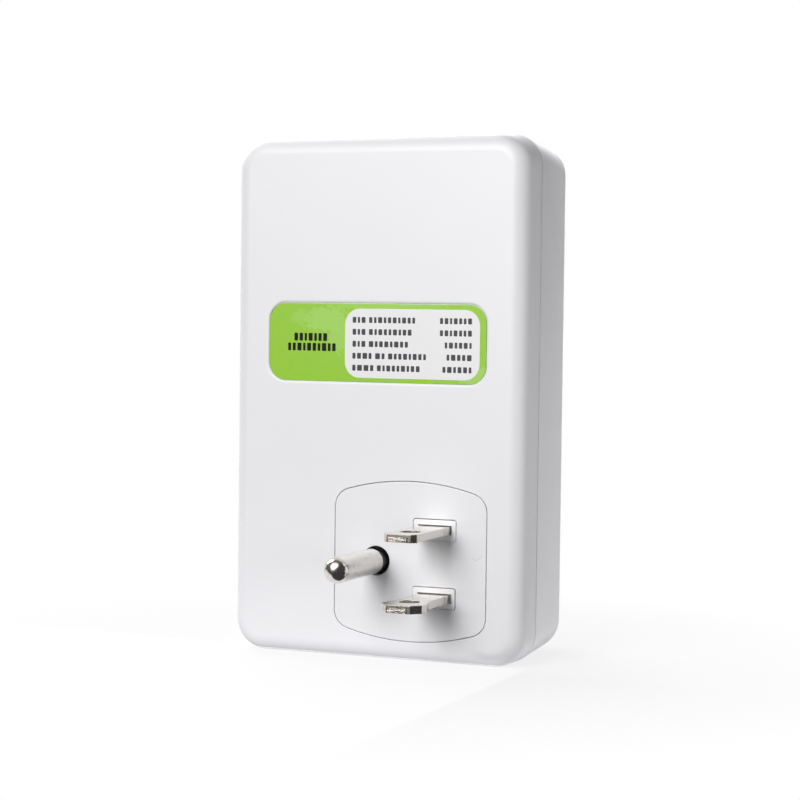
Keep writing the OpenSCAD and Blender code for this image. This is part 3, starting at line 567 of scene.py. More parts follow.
@dataclass(frozen=True)
class Winding(Finish):
    """Enamelled copper wire wound on a bobbin: round strands side by side with dark gaps."""

    roughness: float = 0.3
    gap_colour: str = "#3a1608"
    gap_at: Pair = (0.0, 0.35)
    wire_mm: float = 0.3
    wire_sway: float = 0.3
    metallic: float = 0.55
    enamel: float = 0.6

    def surface(self, tree: Tree) -> Inputs:
        """Builds the strands as bands across the coil's axis.

        Args:
            tree: the material's node tree.

        Returns:
            What the shader's inputs get.
        """
        strands = add(tree, "TexWave", {
            "Vector": object_place(tree), "Scale": per_mm(self.wire_mm) / (2 * math.pi),
            "Distortion": self.wire_sway}, "Fac", bands_direction="Y")
        share = add(tree, "MapRange", [strands, *self.gap_at, 0, 1])
        return {"Base Color": painted(tree, linear(self.gap_colour),
                                      (share, linear(self.colour))),
                "Metallic": self.metallic, "Roughness": self.roughness,
                "Coat Weight": self.enamel,
                "Normal": embossed(tree, (strands, self.wire_mm / 4))}


@dataclass(frozen=True)
class DipCoat(Finish):
    """Epoxy or lacquer dipped over a part: thick gloss, uneven like a skin of paint."""

    roughness: float = 0.22
    stray: Pair = (0.0, 0.12)
    wave_mm: float = 1.6
    wave_depth_mm: float = 0.03
    fleck_colour: str = "#ffffff"
    fleck_mm: float = 0.25
    fleck_share: float = 0.06
    fleck_at: Pair = (0.5, 0.75)
    coat: float = 0.4

    def surface(self, tree: Tree) -> Inputs:
        """Builds the skin's waves and small flecks of filler.

        Args:
            tree: the material's node tree.

        Returns:
            What the shader's inputs get.
        """
        waves = grains(tree, self.wave_mm, 2)
        flecks = add(tree, "MapRange", [grains(tree, self.fleck_mm, 1), *self.fleck_at, 0,
                                        self.fleck_share])
        return {"Base Color": painted(tree, linear(self.colour),
                                      (flecks, linear(self.fleck_colour))),
                "Roughness": self.gloss(tree, waves), "Coat Weight": self.coat,
                "Normal": embossed(tree, (waves, self.wave_depth_mm))}


@dataclass(frozen=True)
class Lens(Finish):
    """Tinted epoxy of a lamp: light passes the skin and scatters in the milky body."""

    roughness: float = 0.16
    stray: Pair = (0.0, 0.08)
    deep_colour: str = "#0f5a2a"
    milk_mm: float = 0.6
    scatter: float = 0.35
    scatter_mm: float = 0.8
    coat: float = 0.5
    ior: float = 1.53

    def surface(self, tree: Tree) -> Inputs:
        """Builds the milky clouds, with light let in under the skin.

        Args:
            tree: the material's node tree.

        Returns:
            What the shader's inputs get.
        """
        milk = grains(tree, self.milk_mm, 2)
        body = (add(tree, "MapRange", [milk, *NOISE, 0, 1]), linear(self.colour))
        return {"Base Color": painted(tree, linear(self.deep_colour), body), "IOR": self.ior,
                "Roughness": self.gloss(tree, milk), "Subsurface Weight": self.scatter,
                "Subsurface Scale": self.scatter_mm * MM, "Coat Weight": self.coat}


# Handling marks on the plug's plate: start and end of each, in millimetres
SCUFFS = (((-20.07, 5.85, 20.04), (-20.8, 5.85, 19.71)),
          ((-20.8, 5.85, 19.71), (-21.96, 5.85, 20.79)),
          ((-13.98, 5.85, 18.88), (-14.08, 5.85, 18.87)),
          ((-14.15, 5.85, 9.91), (-14.25, 5.85, 9.89)))

# White ABS from a lightly eroded mould: reads as clean satin white, a little cool
HOUSING_WHITE = MouldedPlastic("moulded_abs_white", "#f0f0f3", roughness=0.4, cloud=0.006)
# The same plastic from a smoother insert: the plates look a shade cleaner and glossier
INLAY_WHITE = MouldedPlastic("moulded_abs_inlay", "#f0f0f3", roughness=0.34, cloud=0.005,
                             grain_depth_mm=0.004)
# The plug's plate has been handled: a faint tick-shaped scuff and two specks of dirt
PLUG_INLAY_WHITE = MouldedPlastic("moulded_abs_handled", "#f0f0f3", roughness=0.34, cloud=0.005,
                                  grain_depth_mm=0.004, marks=SCUFFS)
# Heat-proof polyester of the blades' carrier: bright, slightly denser white
CARRIER_WHITE = MouldedPlastic("moulded_pbt_white", "#f6f6f8", roughness=0.36, cloud=0.008)
# Grey-white thermoset around the contacts: chalky and duller
BLOCK_GREY = MouldedPlastic("moulded_thermoset_grey", "#d9d9da", roughness=0.55, cloud=0.02)
# Black nylon of the bush: nearly black with a broad gloss
BUSH_BLACK = MouldedPlastic("moulded_nylon_black", "#181c17", roughness=0.3, cloud=0.05)
# Dark grey fibre-filled plate that holds the blades: dull, faintly mottled
RETAINER_GREY = MouldedPlastic("moulded_phenolic_grey", "#3e3e42", roughness=0.6, cloud=0.05)
# Nickel on stamped brass: warm pale grey, rolled along the blade, with olive shear lines on the
# punched walls and a torn end painted paler as a painted glitter highlight, darker on each side
BLADE_NICKEL = PlatedMetal("nickel_plated_blade", "#dcd8d2", roughness=0.16, speck_share=0.2,
                           line_depth_mm=0.001, sheared_colour="#c2bca6", shear_from_mm=21.2,
                           torn_from_mm=22.75, torn_middle_mm=-12.0)
# Nickel on a turned brass pin: the same plating with more thin spots
PIN_NICKEL = PlatedMetal("nickel_plated_pin", "#dbd7d1", roughness=0.17, speck_share=0.5,
                         speck_mm=0.7, line_length=(1, 3, 1))
# Zinc-plated steel of the screws: cooler and duller than nickel
SCREW_ZINC = PlatedMetal("zinc_plated_steel", "#bfc2c4", speck_colour="#8c8f8a", roughness=0.34)
# Spring bronze of the contacts: brassy yellow with rolled lines
SPRING_BRONZE = PlatedMetal("rolled_spring_bronze", "#cfa75c", speck_colour="#8f6a32",
                            line_length=(14, 1, 1))
# Copper strip: reddish, with darker handling stains
STRIP_COPPER = PlatedMetal("rolled_copper_strip", "#c68558", speck_colour="#7b4a2e",
                           roughness=0.3, line_length=(14, 1, 1))
# Soft iron of the relay's magnet: grey, annealed and dull
MAGNET_IRON = PlatedMetal("annealed_soft_iron", "#9c9da0", speck_colour="#6f6a66", roughness=0.42)
# Moving iron with its bronze spring: a warmer grey
ARMATURE_IRON = PlatedMetal("plated_armature_iron", "#b7ad93", speck_colour="#7d7360",
                            roughness=0.34, line_length=(14, 1, 1))
# Tinned brass of the relay's pins: a soft grey, a little yellow where the tin is thin
TINNED_BRASS = PlatedMetal("tinned_brass", "#c9c4ba", speck_colour="#97907f", roughness=0.36)
# Tinned copper wire of the leads: a brighter, cooler grey
TINNED_WIRE = PlatedMetal("tinned_copper_wire", "#cdcdcc", speck_colour="#9c9a94", roughness=0.3)
# Printed polypropylene label: leaf green ink under satin film, with pale sheen painted into its
# colour in patches
LABEL_GREEN = PrintedFilm("printed_film_green", "#93cb14", sheen_colour="#aadb66", painted_sheen_patches=(
    (10.4, 63.6, 6.4, 3.4, 0.7), (7.4, 60.6, 3.4, 4.4, 0.6), (15.0, 64.0, 3.6, 2.0, 0.4),
    (-20.6, 53.4, 5.0, 2.4, 0.6), (-2.0, 66.5, 17.0, 1.2, 0.4)))
# The label's pale panel: white ink, nearly even
LABEL_PANEL = PrintedFilm("printed_film_panel", "#efefef", sheen_colour="#f6f6f6",
                          wave_depth_mm=0.003)
# Grey ink of the bars on the panel: soft edges, no gloss of its own
INK_GREY = PrintedFilm("printed_ink_grey", "#37373b", sheen_colour="#4a4a4e",
                       wave_depth_mm=0.002)
# Black ink of the bars on the green: the darkest print, with less gloss than the film
INK_BLACK = PrintedFilm("printed_ink_black", "#0c0f08", sheen_colour="#181b12",
                        wave_depth_mm=0.002, ior=1.3)
# Vulcanised fibre sheet: red-brown felt of cotton
FIBRE_SHEET = Laminate("vulcanised_fibre", "#9c5f2c", weave_colour="#b0713a", weave_mm=0.9,
                       roughness=0.7)
# Glass cloth in epoxy: the weave shows faintly through green lacquer
BOARD_GREEN = Laminate("glass_epoxy_board", "#1c5a31", weave_colour="#257040")
# Polyester of the relay's cover: a clear blue with a mild gloss
RELAY_BLUE = MouldedPlastic("moulded_polyester_blue", "#1f4f9a", roughness=0.3, cloud=0.03)
# The same plastic filled with carbon for its base: a dull black
RELAY_BLACK = MouldedPlastic("moulded_polyester_black", "#202124", roughness=0.4, cloud=0.04)
# Nylon of the coil's bobbin: waxy cream
BOBBIN_CREAM = MouldedPlastic("moulded_nylon_cream", "#e7e1cf", roughness=0.45, cloud=0.02)
# Enamelled copper wire of the coil: glossy red-brown strands
COIL_COPPER = Winding("enamelled_copper_winding", "#b4622c")
# Epoxy dipped over the film capacitor: a thick mustard skin
FILM_YELLOW = DipCoat("dipped_epoxy_yellow", "#d9b425", roughness=0.26)
# Epoxy dipped over the varistor: glossy deep blue
DISC_BLUE = DipCoat("dipped_epoxy_blue", "#1d4f9c")
# Phenolic dipped over the ceramic discs: a duller tan
CERAMIC_TAN = DipCoat("dipped_phenolic_tan", "#c98a3a", roughness=0.35)
# Lacquer over the resistors: beige in small waves
RESISTOR_TAN = DipCoat("lacquered_resistor_tan", "#d2b987", wave_mm=0.9)
# PVC sleeve shrunk over the capacitors' cans: dark blue with long soft waves
CAN_SLEEVE = DipCoat("shrunk_pvc_sleeve", "#26284a", roughness=0.3, wave_mm=2.5)
# Moulded epoxy of the silicon parts: fine-grained dull black
CHIP_BLACK = MouldedPlastic("moulded_epoxy_black", "#1b1b1d", roughness=0.5, cloud=0.03,
                            grain_mm=0.12)
# Tinted epoxy of the lamps: milky colour, deeper in the body
LAMP_GREEN = Lens("tinted_epoxy_green", "#4cc26a", deep_colour="#1f8a45")
LAMP_YELLOW = Lens("tinted_epoxy_yellow", "#e8c341", deep_colour="#b98512")
LAMP_RED = Lens("tinted_epoxy_red", "#d8392f", deep_colour="#8f1712")
# Extruded PVC of the wires: smooth with a soft gloss
WIRE_BLACK = MouldedPlastic("extruded_pvc_black", "#1c1c1e", roughness=0.38, cloud=0.03)
WIRE_WHITE = MouldedPlastic("extruded_pvc_white", "#e8e8e6", roughness=0.38, cloud=0.02)


# Outlines and surfaces


def circle(radius: float, sides: int = 96) -> np.ndarray:
    """Points at even angles on a circle, as (sides, 2)."""
    turn = np.arange(sides) * 2 * math.pi / sides
    return radius * np.stack([np.cos(turn), np.sin(turn)], axis=1)


def rectangle(width: float, height: float) -> np.ndarray:
    """The four corners of a centred rectangle, counterclockwise."""
    return np.array([[1, -1], [1, 1], [-1, 1], [-1, -1]]) * [width / 2, height / 2]


def soften(corners: np.ndarray, radius: float, steps: int = 6, run: float = 0.12) -> np.ndarray:
    """Rounds the corners of an outline.

    At each corner the arc's centre lies on the bisector, at radius / sin(half the corner's
    angle); the arc turns from the normal of the edge before to the normal of the edge after.
    One more point on each side of the arc, at a distance of run, keeps the straight edge's
    shading flat.

    Args:
        corners: outline (n, 2), counterclockwise; a corner may turn either way.
        radius: radius of the arcs.
        steps: segments of each arc.
        run: distance of the extra points from the arc.

    Returns:
        The rounded outline.
    """
    ahead = np.roll(corners, -1, axis=0) - corners
    ahead /= np.linalg.norm(ahead, axis=1, keepdims=True)
    before = np.roll(ahead, 1, axis=0)
    cross = before[:, 0] * ahead[:, 1] - before[:, 1] * ahead[:, 0]
    turn = np.arctan2(cross, (before * ahead).sum(1))
    reach = radius * np.abs(np.tan(turn / 2))
    side = np.sign(turn)[:, None]
    inward = np.stack([-before[:, 1], before[:, 0]], axis=1) * side
    start = corners - before * reach[:, None]
    centre = start + inward * radius
    share = np.linspace(0, 1, steps + 1)[None, :] * turn[:, None]
    spoke = start - centre
    cos, sin = np.cos(share), np.sin(share)
    arc = centre[:, None, :] + np.stack([spoke[:, None, 0] * cos - spoke[:, None, 1] * sin,
                                         spoke[:, None, 0] * sin + spoke[:, None, 1] * cos], axis=2)
    first = (start - before * run)[:, None, :]
    last = (corners + ahead * (reach + run)[:, None])[:, None, :]
    return np.concatenate([first, arc, last], axis=1).reshape(-1, 2)


def inset(outline: np.ndarray, distance: float) -> np.ndarray:
    """Moves every edge of a counterclockwise outline inwards, or outwards if negative.

    Each point moves along the sum of its two edges' inward normals, divided by one plus their
    dot product, so that both edges move by the distance.

    Args:
        outline: points (n, 2).
        distance: how far the edges move.

    Returns:
        The moved outline.
    """
    ahead = np.roll(outline, -1, axis=0) - outline
    ahead /= np.linalg.norm(ahead, axis=1, keepdims=True)
    normal = np.stack([-ahead[:, 1], ahead[:, 0]], axis=1)
    before = np.roll(normal, 1, axis=0)
    share = 1 + (normal * before).sum(1, keepdims=True)
    return outline + distance * (normal + before) / share


def lay(outline: np.ndarray, height: float, lie: Lie = Lie.ON_FACE) -> np.ndarray:
    """Lays a flat outline in space.

    Args:
        outline: points (n, 2).
        height: its height.
        lie: how it lies.

    Returns:
        Points (n, 3).
    """
    level = np.full(len(outline), height)
    order = (outline[:, 0], level, outline[:, 1]) if lie is Lie.ON_FACE else (
        outline[:, 0], outline[:, 1], level)
    return np.stack(order, axis=1)


def rounding(edge: float, face: float, flat: float, steps: int, wide: float = 1.0,
             way: float = 1.0) -> list[Pair]:
    """A rounded edge's profile, from the face to the wall.

    At angle a the ring lies edge * wide * (1 - sin a) inside the wall and edge * (1 - cos a)
    behind the face. One more ring lies flat further in on the face, and keeps it flat.

    Args:
        edge: radius of the edge.
        face: height of the face.
        flat: the extra ring's distance.
        steps: segments of the rounding.
        wide: width of the rounding over its radius.
        way: 1 where the wall goes down from the face, and -1 where it goes up.

    Returns:
        For each ring its distance inside the wall and its height.
    """
    return [(edge * wide + flat, face)] + [
        (edge * wide * (1 - math.sin(a)), face - way * edge * (1 - math.cos(a)))
        for a in np.linspace(0, math.pi / 2, steps + 1)]


class Skin:
    """Closed surfaces put together from rings of points, in millimetres."""

    def __init__(self) -> None:
        """Starts with no points."""
        self.blocks: list[np.ndarray] = []
        self.faces: list[list[int]] = []
        self.count = 0

    def band(self, first: np.ndarray, second: np.ndarray) -> None:
        """Joins two rings of equal length with quads."""
        self.faces += np.stack([first, np.roll(first, -1), np.roll(second, -1), second],
                               axis=1).tolist()

    def bands(self, rings: Sequence[np.ndarray]) -> list[np.ndarray]:
        """Adds rings and joins each to the next.

        Args:
            rings: arrays of points (n, 3), all of one length.

        Returns:
            The numbers of each ring's points.
        """
        self.blocks += rings
        count = len(rings[0])
        added = [np.arange(count) + self.count + i * count for i in range(len(rings))]
        self.count += count * len(rings)
        for first, second in zip(added, added[1:]):
            self.band(first, second)
        return added

    def tube(self, outline: np.ndarray, heights: Sequence[float]) -> list[np.ndarray]:
        """Adds the wall of one outline through heights, and returns its rings' numbers."""
        return self.bands([lay(outline, h) for h in heights])

    def fill(self, *loops: np.ndarray) -> None:
        """Fills the flat region inside the first ring and outside the others with triangles."""
        points = np.concatenate(self.blocks)
        flat = tessellate_polygon([points[loop].tolist() for loop in loops])
        self.faces += np.concatenate(loops)[np.array(flat, int)].tolist()

    def slab(self, outline: np.ndarray, holes: Sequence[np.ndarray], low: float, high: float,
             edge: float, lie: Lie = Lie.ON_FACE, low_edge: float | None = None,
             flat: float = 0.06, steps: int = 4) -> None:
        """Adds a plate between two heights, rounded at its edges and at the edges of its holes.

        Args:
            outline: outer outline.
            holes: outlines of the holes, counterclockwise too.
            low: height of the lower face.
            high: height of the upper face.
            edge: radius of the upper edges.
            lie: how the plate lies.
            low_edge: radius of the lower edges, if it differs.
            flat: extra ring's distance from each rounding, which keeps flat faces flat.
            steps: segments of each rounding.
        """
        under = edge if low_edge is None else low_edge
        profile = rounding(edge, high, flat, steps) + [
            (0.0, high - edge - flat), (0.0, low + under + flat)] + rounding(
                under, low, flat, steps, way=-1)[::-1]
        wall = [self.bands([lay(inset(line, d * way), h, lie) for d, h in profile])
                for line, way in [(outline, 1)] + [(hole, -1) for hole in holes]]
        for end in (0, -1):
            self.fill(*[rings[end] for rings in wall])

    def lathe(self, profile: np.ndarray, centre: Point, sides: int = 96) -> None:
        """Adds a round piece about an axis along Y.

        A point (r, h) of the profile at angle a lies at x = r cos a, y = h, z = r sin a from the
        centre. A profile that starts and ends on the axis closes on itself there.

        Args:
            profile: points (n, 2) of radius and height.
            centre: where the axis is.
            sides: segments round the axis.
        """
        added = self.bands([lay(circle(max(r, 1e-4), sides), h) + centre for r, h in profile])
        self.faces += [added[0].tolist(), added[-1].tolist()]

    def piece(self, name: str, finish: Finish, slot: str, *nodes: str) -> None:
        """Makes the finished object, in metres, with its faces turned outwards.

        Args:
            name: the piece's name.
            finish: what it is dressed in.
            slot: the record's material slot; not used.
            nodes: the CAD nodes that it stands for.
        """
        mesh = bpy.data.meshes.new(name)
        mesh.from_pydata((np.concatenate(self.blocks) * MM).tolist(), [], self.faces)
        work = bmesh.new()
        work.from_mesh(mesh)
        bmesh.ops.remove_doubles(work, verts=work.verts, dist=MERGE)
        bmesh.ops.dissolve_degenerate(work, edges=work.edges, dist=MERGE)
        bmesh.ops.recalc_face_normals(work, faces=work.faces)
        open_edges = sum(not e.is_manifold for e in work.edges)
        work.to_mesh(mesh)
        work.free()
        mesh.polygons.foreach_set("use_smooth", np.ones(len(mesh.polygons), bool))
        mesh.set_sharp_from_angle(angle=SMOOTH_ANGLE)
        mesh.materials.append(finish.material())
        piece = bpy.data.objects.new(name, mesh)
        bpy.context.scene.collection.objects.link(piece)
        if nodes:
            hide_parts(*nodes)
        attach(piece, "housing")
        log.info("%s: %d faces, %d open edges", name, len(mesh.polygons), open_edges)


@dataclass(frozen=True)
class Sizes:
    """Sizes that several pieces share, in millimetres."""

    width: float = 59.6
    height: float = 98.4
    corner: float = 6.0
    wall: float = 2.0
    rear_y: float = 5.85
    seam_y: float = -1.85
    front_y: float = -24.15
    plug_x: float = -12.35
    ground_x: float = -0.45
    plug_z: float = 18.65
    pitch: float = 12.7
    plate_x: float = -7.38
    plate_z: float = 18.8
    plate_half_w: float = 15.22
    plate_half_h: float = 14.93
    arch: float = 45.0
    plate_corner: float = 3.5
    plate_side: float = 0.3
    plate_t: float = 1.6
    ledge: float = 2.0
    ledge_t: float = 1.6
    frame_w: float = 1.6
    gap: float = 0.12
    rim: float = 0.12
    fine: float = 0.03
    label_z: float = 59.4
    label_w: float = 44.1
    label_h: float = 14.65
    label_r: float = 3.4
    label_deep: float = 0.35
    label_t: float = 0.2
    lamp_z: float = 84.03
    lamp_pitch: float = 12.0
    lamp_r: float = 1.5
    lamp_proud: float = 1.2
    screw_x: float = 18.0
    board_y: float = 7.0
    board_t: float = 1.6

    def blade_heights(self) -> Pair:
        """Heights of the hot and of the neutral blade."""
        return (self.plug_z + self.pitch / 2, self.plug_z - self.pitch / 2)

    def arched(self, grow: float = 0.0) -> np.ndarray:
        """The arched plate's outline in place.

        A corner arc of the corner's radius runs from the side to where it meets the arch, and
        the arch, about a point on the plate's upright axis, runs on to the top; the other three
        quarters mirror it.

        Args:
            grow: distance outside the plate's own outline.

        Returns:
            The outline, counterclockwise.
        """
        middle = self.plate_half_h - self.arch
        corner_x = self.plate_half_w - self.plate_corner
        reach = self.arch - self.plate_corner
        corner_z = middle + math.sqrt(reach ** 2 - corner_x ** 2)
        turn = math.atan2(corner_z - middle, corner_x)
        a = np.linspace(0, turn, CORNER_PARTS + 1)
        b = np.linspace(turn, math.pi / 2, ARCH_PARTS + 1)[1:]
        small, large = self.plate_corner + grow, self.arch + grow
        first = np.array([[self.plate_half_w + grow, corner_z - self.plate_side]])
        corner = np.stack([corner_x + small * np.cos(a), corner_z + small * np.sin(a)], axis=1)
        crown = np.stack([large * np.cos(b), middle + large * np.sin(b)], axis=1)
        right_top = np.concatenate([first, corner, crown])
        top = np.concatenate([right_top, right_top[-2::-1] * [-1, 1]])
        return np.concatenate([top, -top]) + [self.plate_x, self.plate_z]

    def window(self) -> np.ndarray:
        """The opening behind the arched plate."""
        half = np.array([self.plate_half_w, self.plate_half_h]) - self.ledge
        return soften(rectangle(*2 * half), self.plate_corner) + [self.plate_x, self.plate_z]


@dataclass(frozen=True)
class Shell:
    """One moulded half of the housing."""

    sizes: Sizes
    face_y: float
    tapers: Pair
    edge: float
    flat: float = 0.12
    seam_gap: float = 0.0
    seam_edge: float = 0.08
    seam_deep: float = 1.0
    blend_from: float = 0.3
    support: float = 0.03
    side_run: float = 0.4
    arc: int = 20
    roll: int = 12

    def toward(self) -> float:
        """1 where the face looks to +Y, and -1 where it looks to -Y."""
        return math.copysign(1.0, self.face_y - self.sizes.seam_y)

    def below(self, depth: float) -> float:
        """The place along Y at a depth below the face."""
        return self.face_y - self.toward() * depth

    def columns(self) -> tuple[np.ndarray, np.ndarray, np.ndarray, np.ndarray]:
        """Directions round the body and where their corner posts stand.

        Four quarter turns about four posts, each with one more column on the straight side
        before and after it.

        Returns:
            The angle, the post's side (1 or -1), its level (1 at the top, 0 at the base) and
            the push along the straight side, one value for each column.
        """
        count = self.arc + 3
        share = np.linspace(0, 1, self.arc + 1)
        share = np.concatenate([share[:1], share, share[-1:]])
        push = np.zeros(count)
        push[0], push[-1] = -self.side_run, self.side_run
        angle = (np.arange(4)[:, None] + share).ravel() * math.pi / 2
        return (angle, np.repeat([1.0, -1.0, -1.0, 1.0], count),
                np.repeat([1.0, 1.0, 0.0, 0.0], count), np.tile(push, 4))

    def ring(self, radius: np.ndarray | float, deep: np.ndarray | float,
             tapered: bool = False) -> np.ndarray:
        """One ring of the shell's surface.

        In the direction of angle a the point lies a radius from its corner post, whose centre
        stands one corner radius inside the body's sides, moved inwards by the tapers where the
        ring belongs to the face's rounding.

        Args:
            radius: distance from the post, one or for each column.
            deep: distance from the parting plane, one or for each column.
            tapered: whether the posts stand at their tapered places.

        Returns:
            Points (n, 3).
        """
        s = self.sizes
        angle, side, level, push = self.columns()
        side_in, top_in = self.tapers if tapered else (0.0, 0.0)
        x = side * (s.width / 2 - s.corner - side_in)
        z = s.corner + level * (s.height - 2 * s.corner - top_in)
        cos, sin = np.cos(angle), np.sin(angle)
        away = self.toward() * (deep + 0 * angle)
        return np.stack([x + radius * cos - push * sin, s.seam_y + away,
                         z + radius * sin + push * cos], axis=1)

    def rolled(self, form: Form) -> tuple[list[np.ndarray], np.ndarray]:
        """Rings from the straight wall over the rounding to the face.

        The wall is ruled from the parting line to the rounding, a quarter torus of radius e. With
        A = e + taper in that direction and B = the height between them, the wall meets the torus
        at angle acos(e / sqrt(A² + B²)) - atan2(B, A).

        Args:
            form: the outer surface, or the inner one a wall's thickness inside it.

        Returns:
            The rings, first the one where the wall starts, and the depth where the wall ends.
        """
        s = self.sizes
        wall = s.wall if form is Form.INNER else 0.0
        radius = s.corner - wall
        e = max(self.edge - wall, self.blend_from)
        depth = abs(self.face_y - s.seam_y) - wall
        angle, _, level, _ = self.columns()
        taper = np.abs(np.cos(angle)) * self.tapers[0] + level * np.sin(angle) * self.tapers[1]
        a, b = e + taper, depth - e - self.blend_from
        first = np.arccos(e / np.hypot(a, b)) - np.arctan2(b, a)
        turns = [first + (math.pi / 2 - first) * k for k in np.linspace(0, 1, self.roll + 1)]
        rings = [self.ring(radius - e + e * np.cos(turn), depth - e + e * np.sin(turn), True)
                 for turn in turns]
        foot = self.ring(radius, self.blend_from)
        support = rings[0] + (foot - rings[0]) * self.support
        return [foot, support] + rings, np.abs(rings[0][:, 1] - s.seam_y)

    def outer(self) -> list[np.ndarray]:
        """The outer surface, down to the parting line and its shadow gap, if it has one.

        Returns:
            The rings, first the one on the face's flat.
        """
        s, edge, start = self.sizes, self.seam_edge, self.seam_gap + self.seam_edge
        rings, _ = self.rolled(Form.OUTER)
        flat = self.ring(s.corner - self.edge - self.flat, abs(self.face_y - s.seam_y), True)
        soft = [self.ring(s.corner - edge * (1 - math.sin(a)), start - edge * math.cos(a))
                for a in np.linspace(math.pi / 2, 0, 4)]
        groove = [self.ring(s.corner - self.seam_deep, d)
                  for d in ((self.seam_gap, 0.0) if self.seam_gap else ())]
        return [flat] + rings[::-1] + soft + groove

    def open_cap(self, skin: Skin, outline: np.ndarray, deep: float, edge: float,
                 steps: int = 4, flat: float = 0.06,
                 wide: float = 1.0) -> tuple[np.ndarray, np.ndarray]:
        """Adds the rounded rim and the wall of an opening in the face.

        Args:
            skin: where it is added.
            outline: the opening's outline.
            deep: depth of its wall below the face.
            edge: radius of its rim.
            steps: segments of the rim.
            flat: extra ring's distance from the rim.
            wide: width of the rim over its radius.

        Returns:
            The ring on the face and the ring at the foot of the wall.
        """
        profile = rounding(edge, 0.0, flat, steps, wide, -1) + [(0.0, edge + flat), (0.0, deep)]
        rings = skin.bands([lay(inset(outline, -d), self.below(h)) for d, h in profile])
        return rings[0], rings[-1]

    def plate_window(self, skin: Skin) -> tuple[np.ndarray, np.ndarray]:
        """Adds the stepped window that takes an arched plate, with the frame behind it.

        Args:
            skin: where it is added.

        Returns:
            The ring on the face and the ring on the inner side of the wall.
        """
        s = self.sizes
        lip, ledge = self.open_cap(skin, s.arched(s.gap), s.plate_t, s.rim, flat=s.fine)
        middle, deep = self.below(s.plate_t), self.below(s.plate_t + s.ledge_t)
        inner = skin.tube(s.window(), (middle, deep))
        skin.fill(ledge, inner[0])
        frame = skin.tube(s.arched(s.frame_w), (deep, self.below(s.wall)))
        skin.fill(frame[0], inner[1])
        return lip, frame[1]


@dataclass(frozen=True)
class RearHousing:
    """Rear half: the face around the plug, the label's recess, the lip and the bosses.

    A tab and its hook are each given by their length, their distance from the seam, the radius
    of their corners, and the heights of their two faces over the base's inner side.
    """

    sizes: Sizes
    tapers: Pair = (0.3, 0.5)
    edge: float = 3.0
    seam_gap: float = 0.34
    lip_inset: float = 1.1
    lip_h: float = 2.0
    lip_chamfer: Pair = (0.15, 0.2)
    recess_more: Pair = (0.1, 0.14)
    recess_r_more: float = 0.06
    recess_up: float = 0.05
    recess_edge: float = 0.3
    recess_wide: float = 1.6
    recess_flat: float = 0.04
    head_r: float = 2.85
    head_deep: float = 2.15
    bore_r: float = 1.55
    boss_r: float = 4.0
    stop_r: float = 2.0
    stop_at: Pair = (21.0, 88.0)
    tab_x: float = 15.0
    tab_w: float = 6.0
    tab: tuple[float, ...] = (5.4, 1.9, 0.3, 0.0, 1.0)
    hook: tuple[float, ...] = (1.0, 4.1, 0.2, -0.5, 0.5)
    tab_edge: float = 0.12
    stop_edge: float = 0.1
    sunk: float = 0.4

    def build(self) -> None:
        """Builds the shell as one closed surface, and the pieces moulded on it."""
        s, skin = self.sizes, Skin()
        shell = Shell(s, s.rear_y, self.tapers, self.edge, seam_gap=self.seam_gap)
        inner, _ = shell.rolled(Form.INNER)
        inward, back = self.lip_chamfer
        radius = s.corner - self.lip_inset
        lip = [shell.ring(radius, 0.0), shell.ring(radius, -self.lip_h + back),
               shell.ring(radius - inward, -self.lip_h), shell.ring(s.corner - s.wall, -self.lip_h)]
        rings = skin.bands(shell.outer() + lip + inner)
        face, frame = shell.plate_window(skin)
        more_w, more_h = self.recess_more
        recess = soften(rectangle(s.label_w + more_w, s.label_h + more_h),
                        s.label_r + self.recess_r_more, 12) + [0, s.label_z + self.recess_up]
        rim, floor = shell.open_cap(skin, recess, s.label_deep, self.recess_edge, 6,
                                    self.recess_flat, self.recess_wide)
        skin.fill(rings[0], face, rim)
        heads, bosses = [], []
        for side in (-1, 1):
            head, bore, boss = (
                skin.tube(circle(r, 48) + [side * s.screw_x, s.label_z],
                          [shell.below(d) for d in depths])
                for r, depths in ((self.head_r, (s.label_deep, self.head_deep)),
                                  (self.bore_r, (self.head_deep, s.board_y)),
                                  (self.boss_r, (s.board_y, s.wall))))
            skin.fill(head[1], bore[0])
            skin.fill(boss[0], bore[1])
            heads.append(head[0])
            bosses.append(boss[1])
        skin.fill(floor, *heads)
        skin.fill(rings[-1], frame, *bosses)
        for side in (-1, 1):
            self.fittings(skin, shell, side)
        skin.piece("rear_housing", HOUSING_WHITE, "shell", "rear_shell")

    def fittings(self, skin: Skin, shell: Shell, side: int) -> None:
        """Adds one of the board's two stops and one of the two hooked tabs.

        Args:
            skin: where they are added.
            shell: the rear half's form.
            side: -1 or 1, the side along X.
        """
        s = self.sizes
        x, z = self.stop_at
        skin.slab(circle(self.stop_r, 48) + [side * x, z], [], shell.below(s.board_y),
                  shell.below(s.wall - self.sunk), self.stop_edge)
        for long, away, radius, low, high in (self.tab, self.hook):
            bar = soften(rectangle(self.tab_w, long), radius, 3, 0.1)
            skin.slab(bar + [side * self.tab_x, s.seam_y - away], [], s.wall + low,
                      s.wall + high, self.tab_edge, Lie.LEVEL)


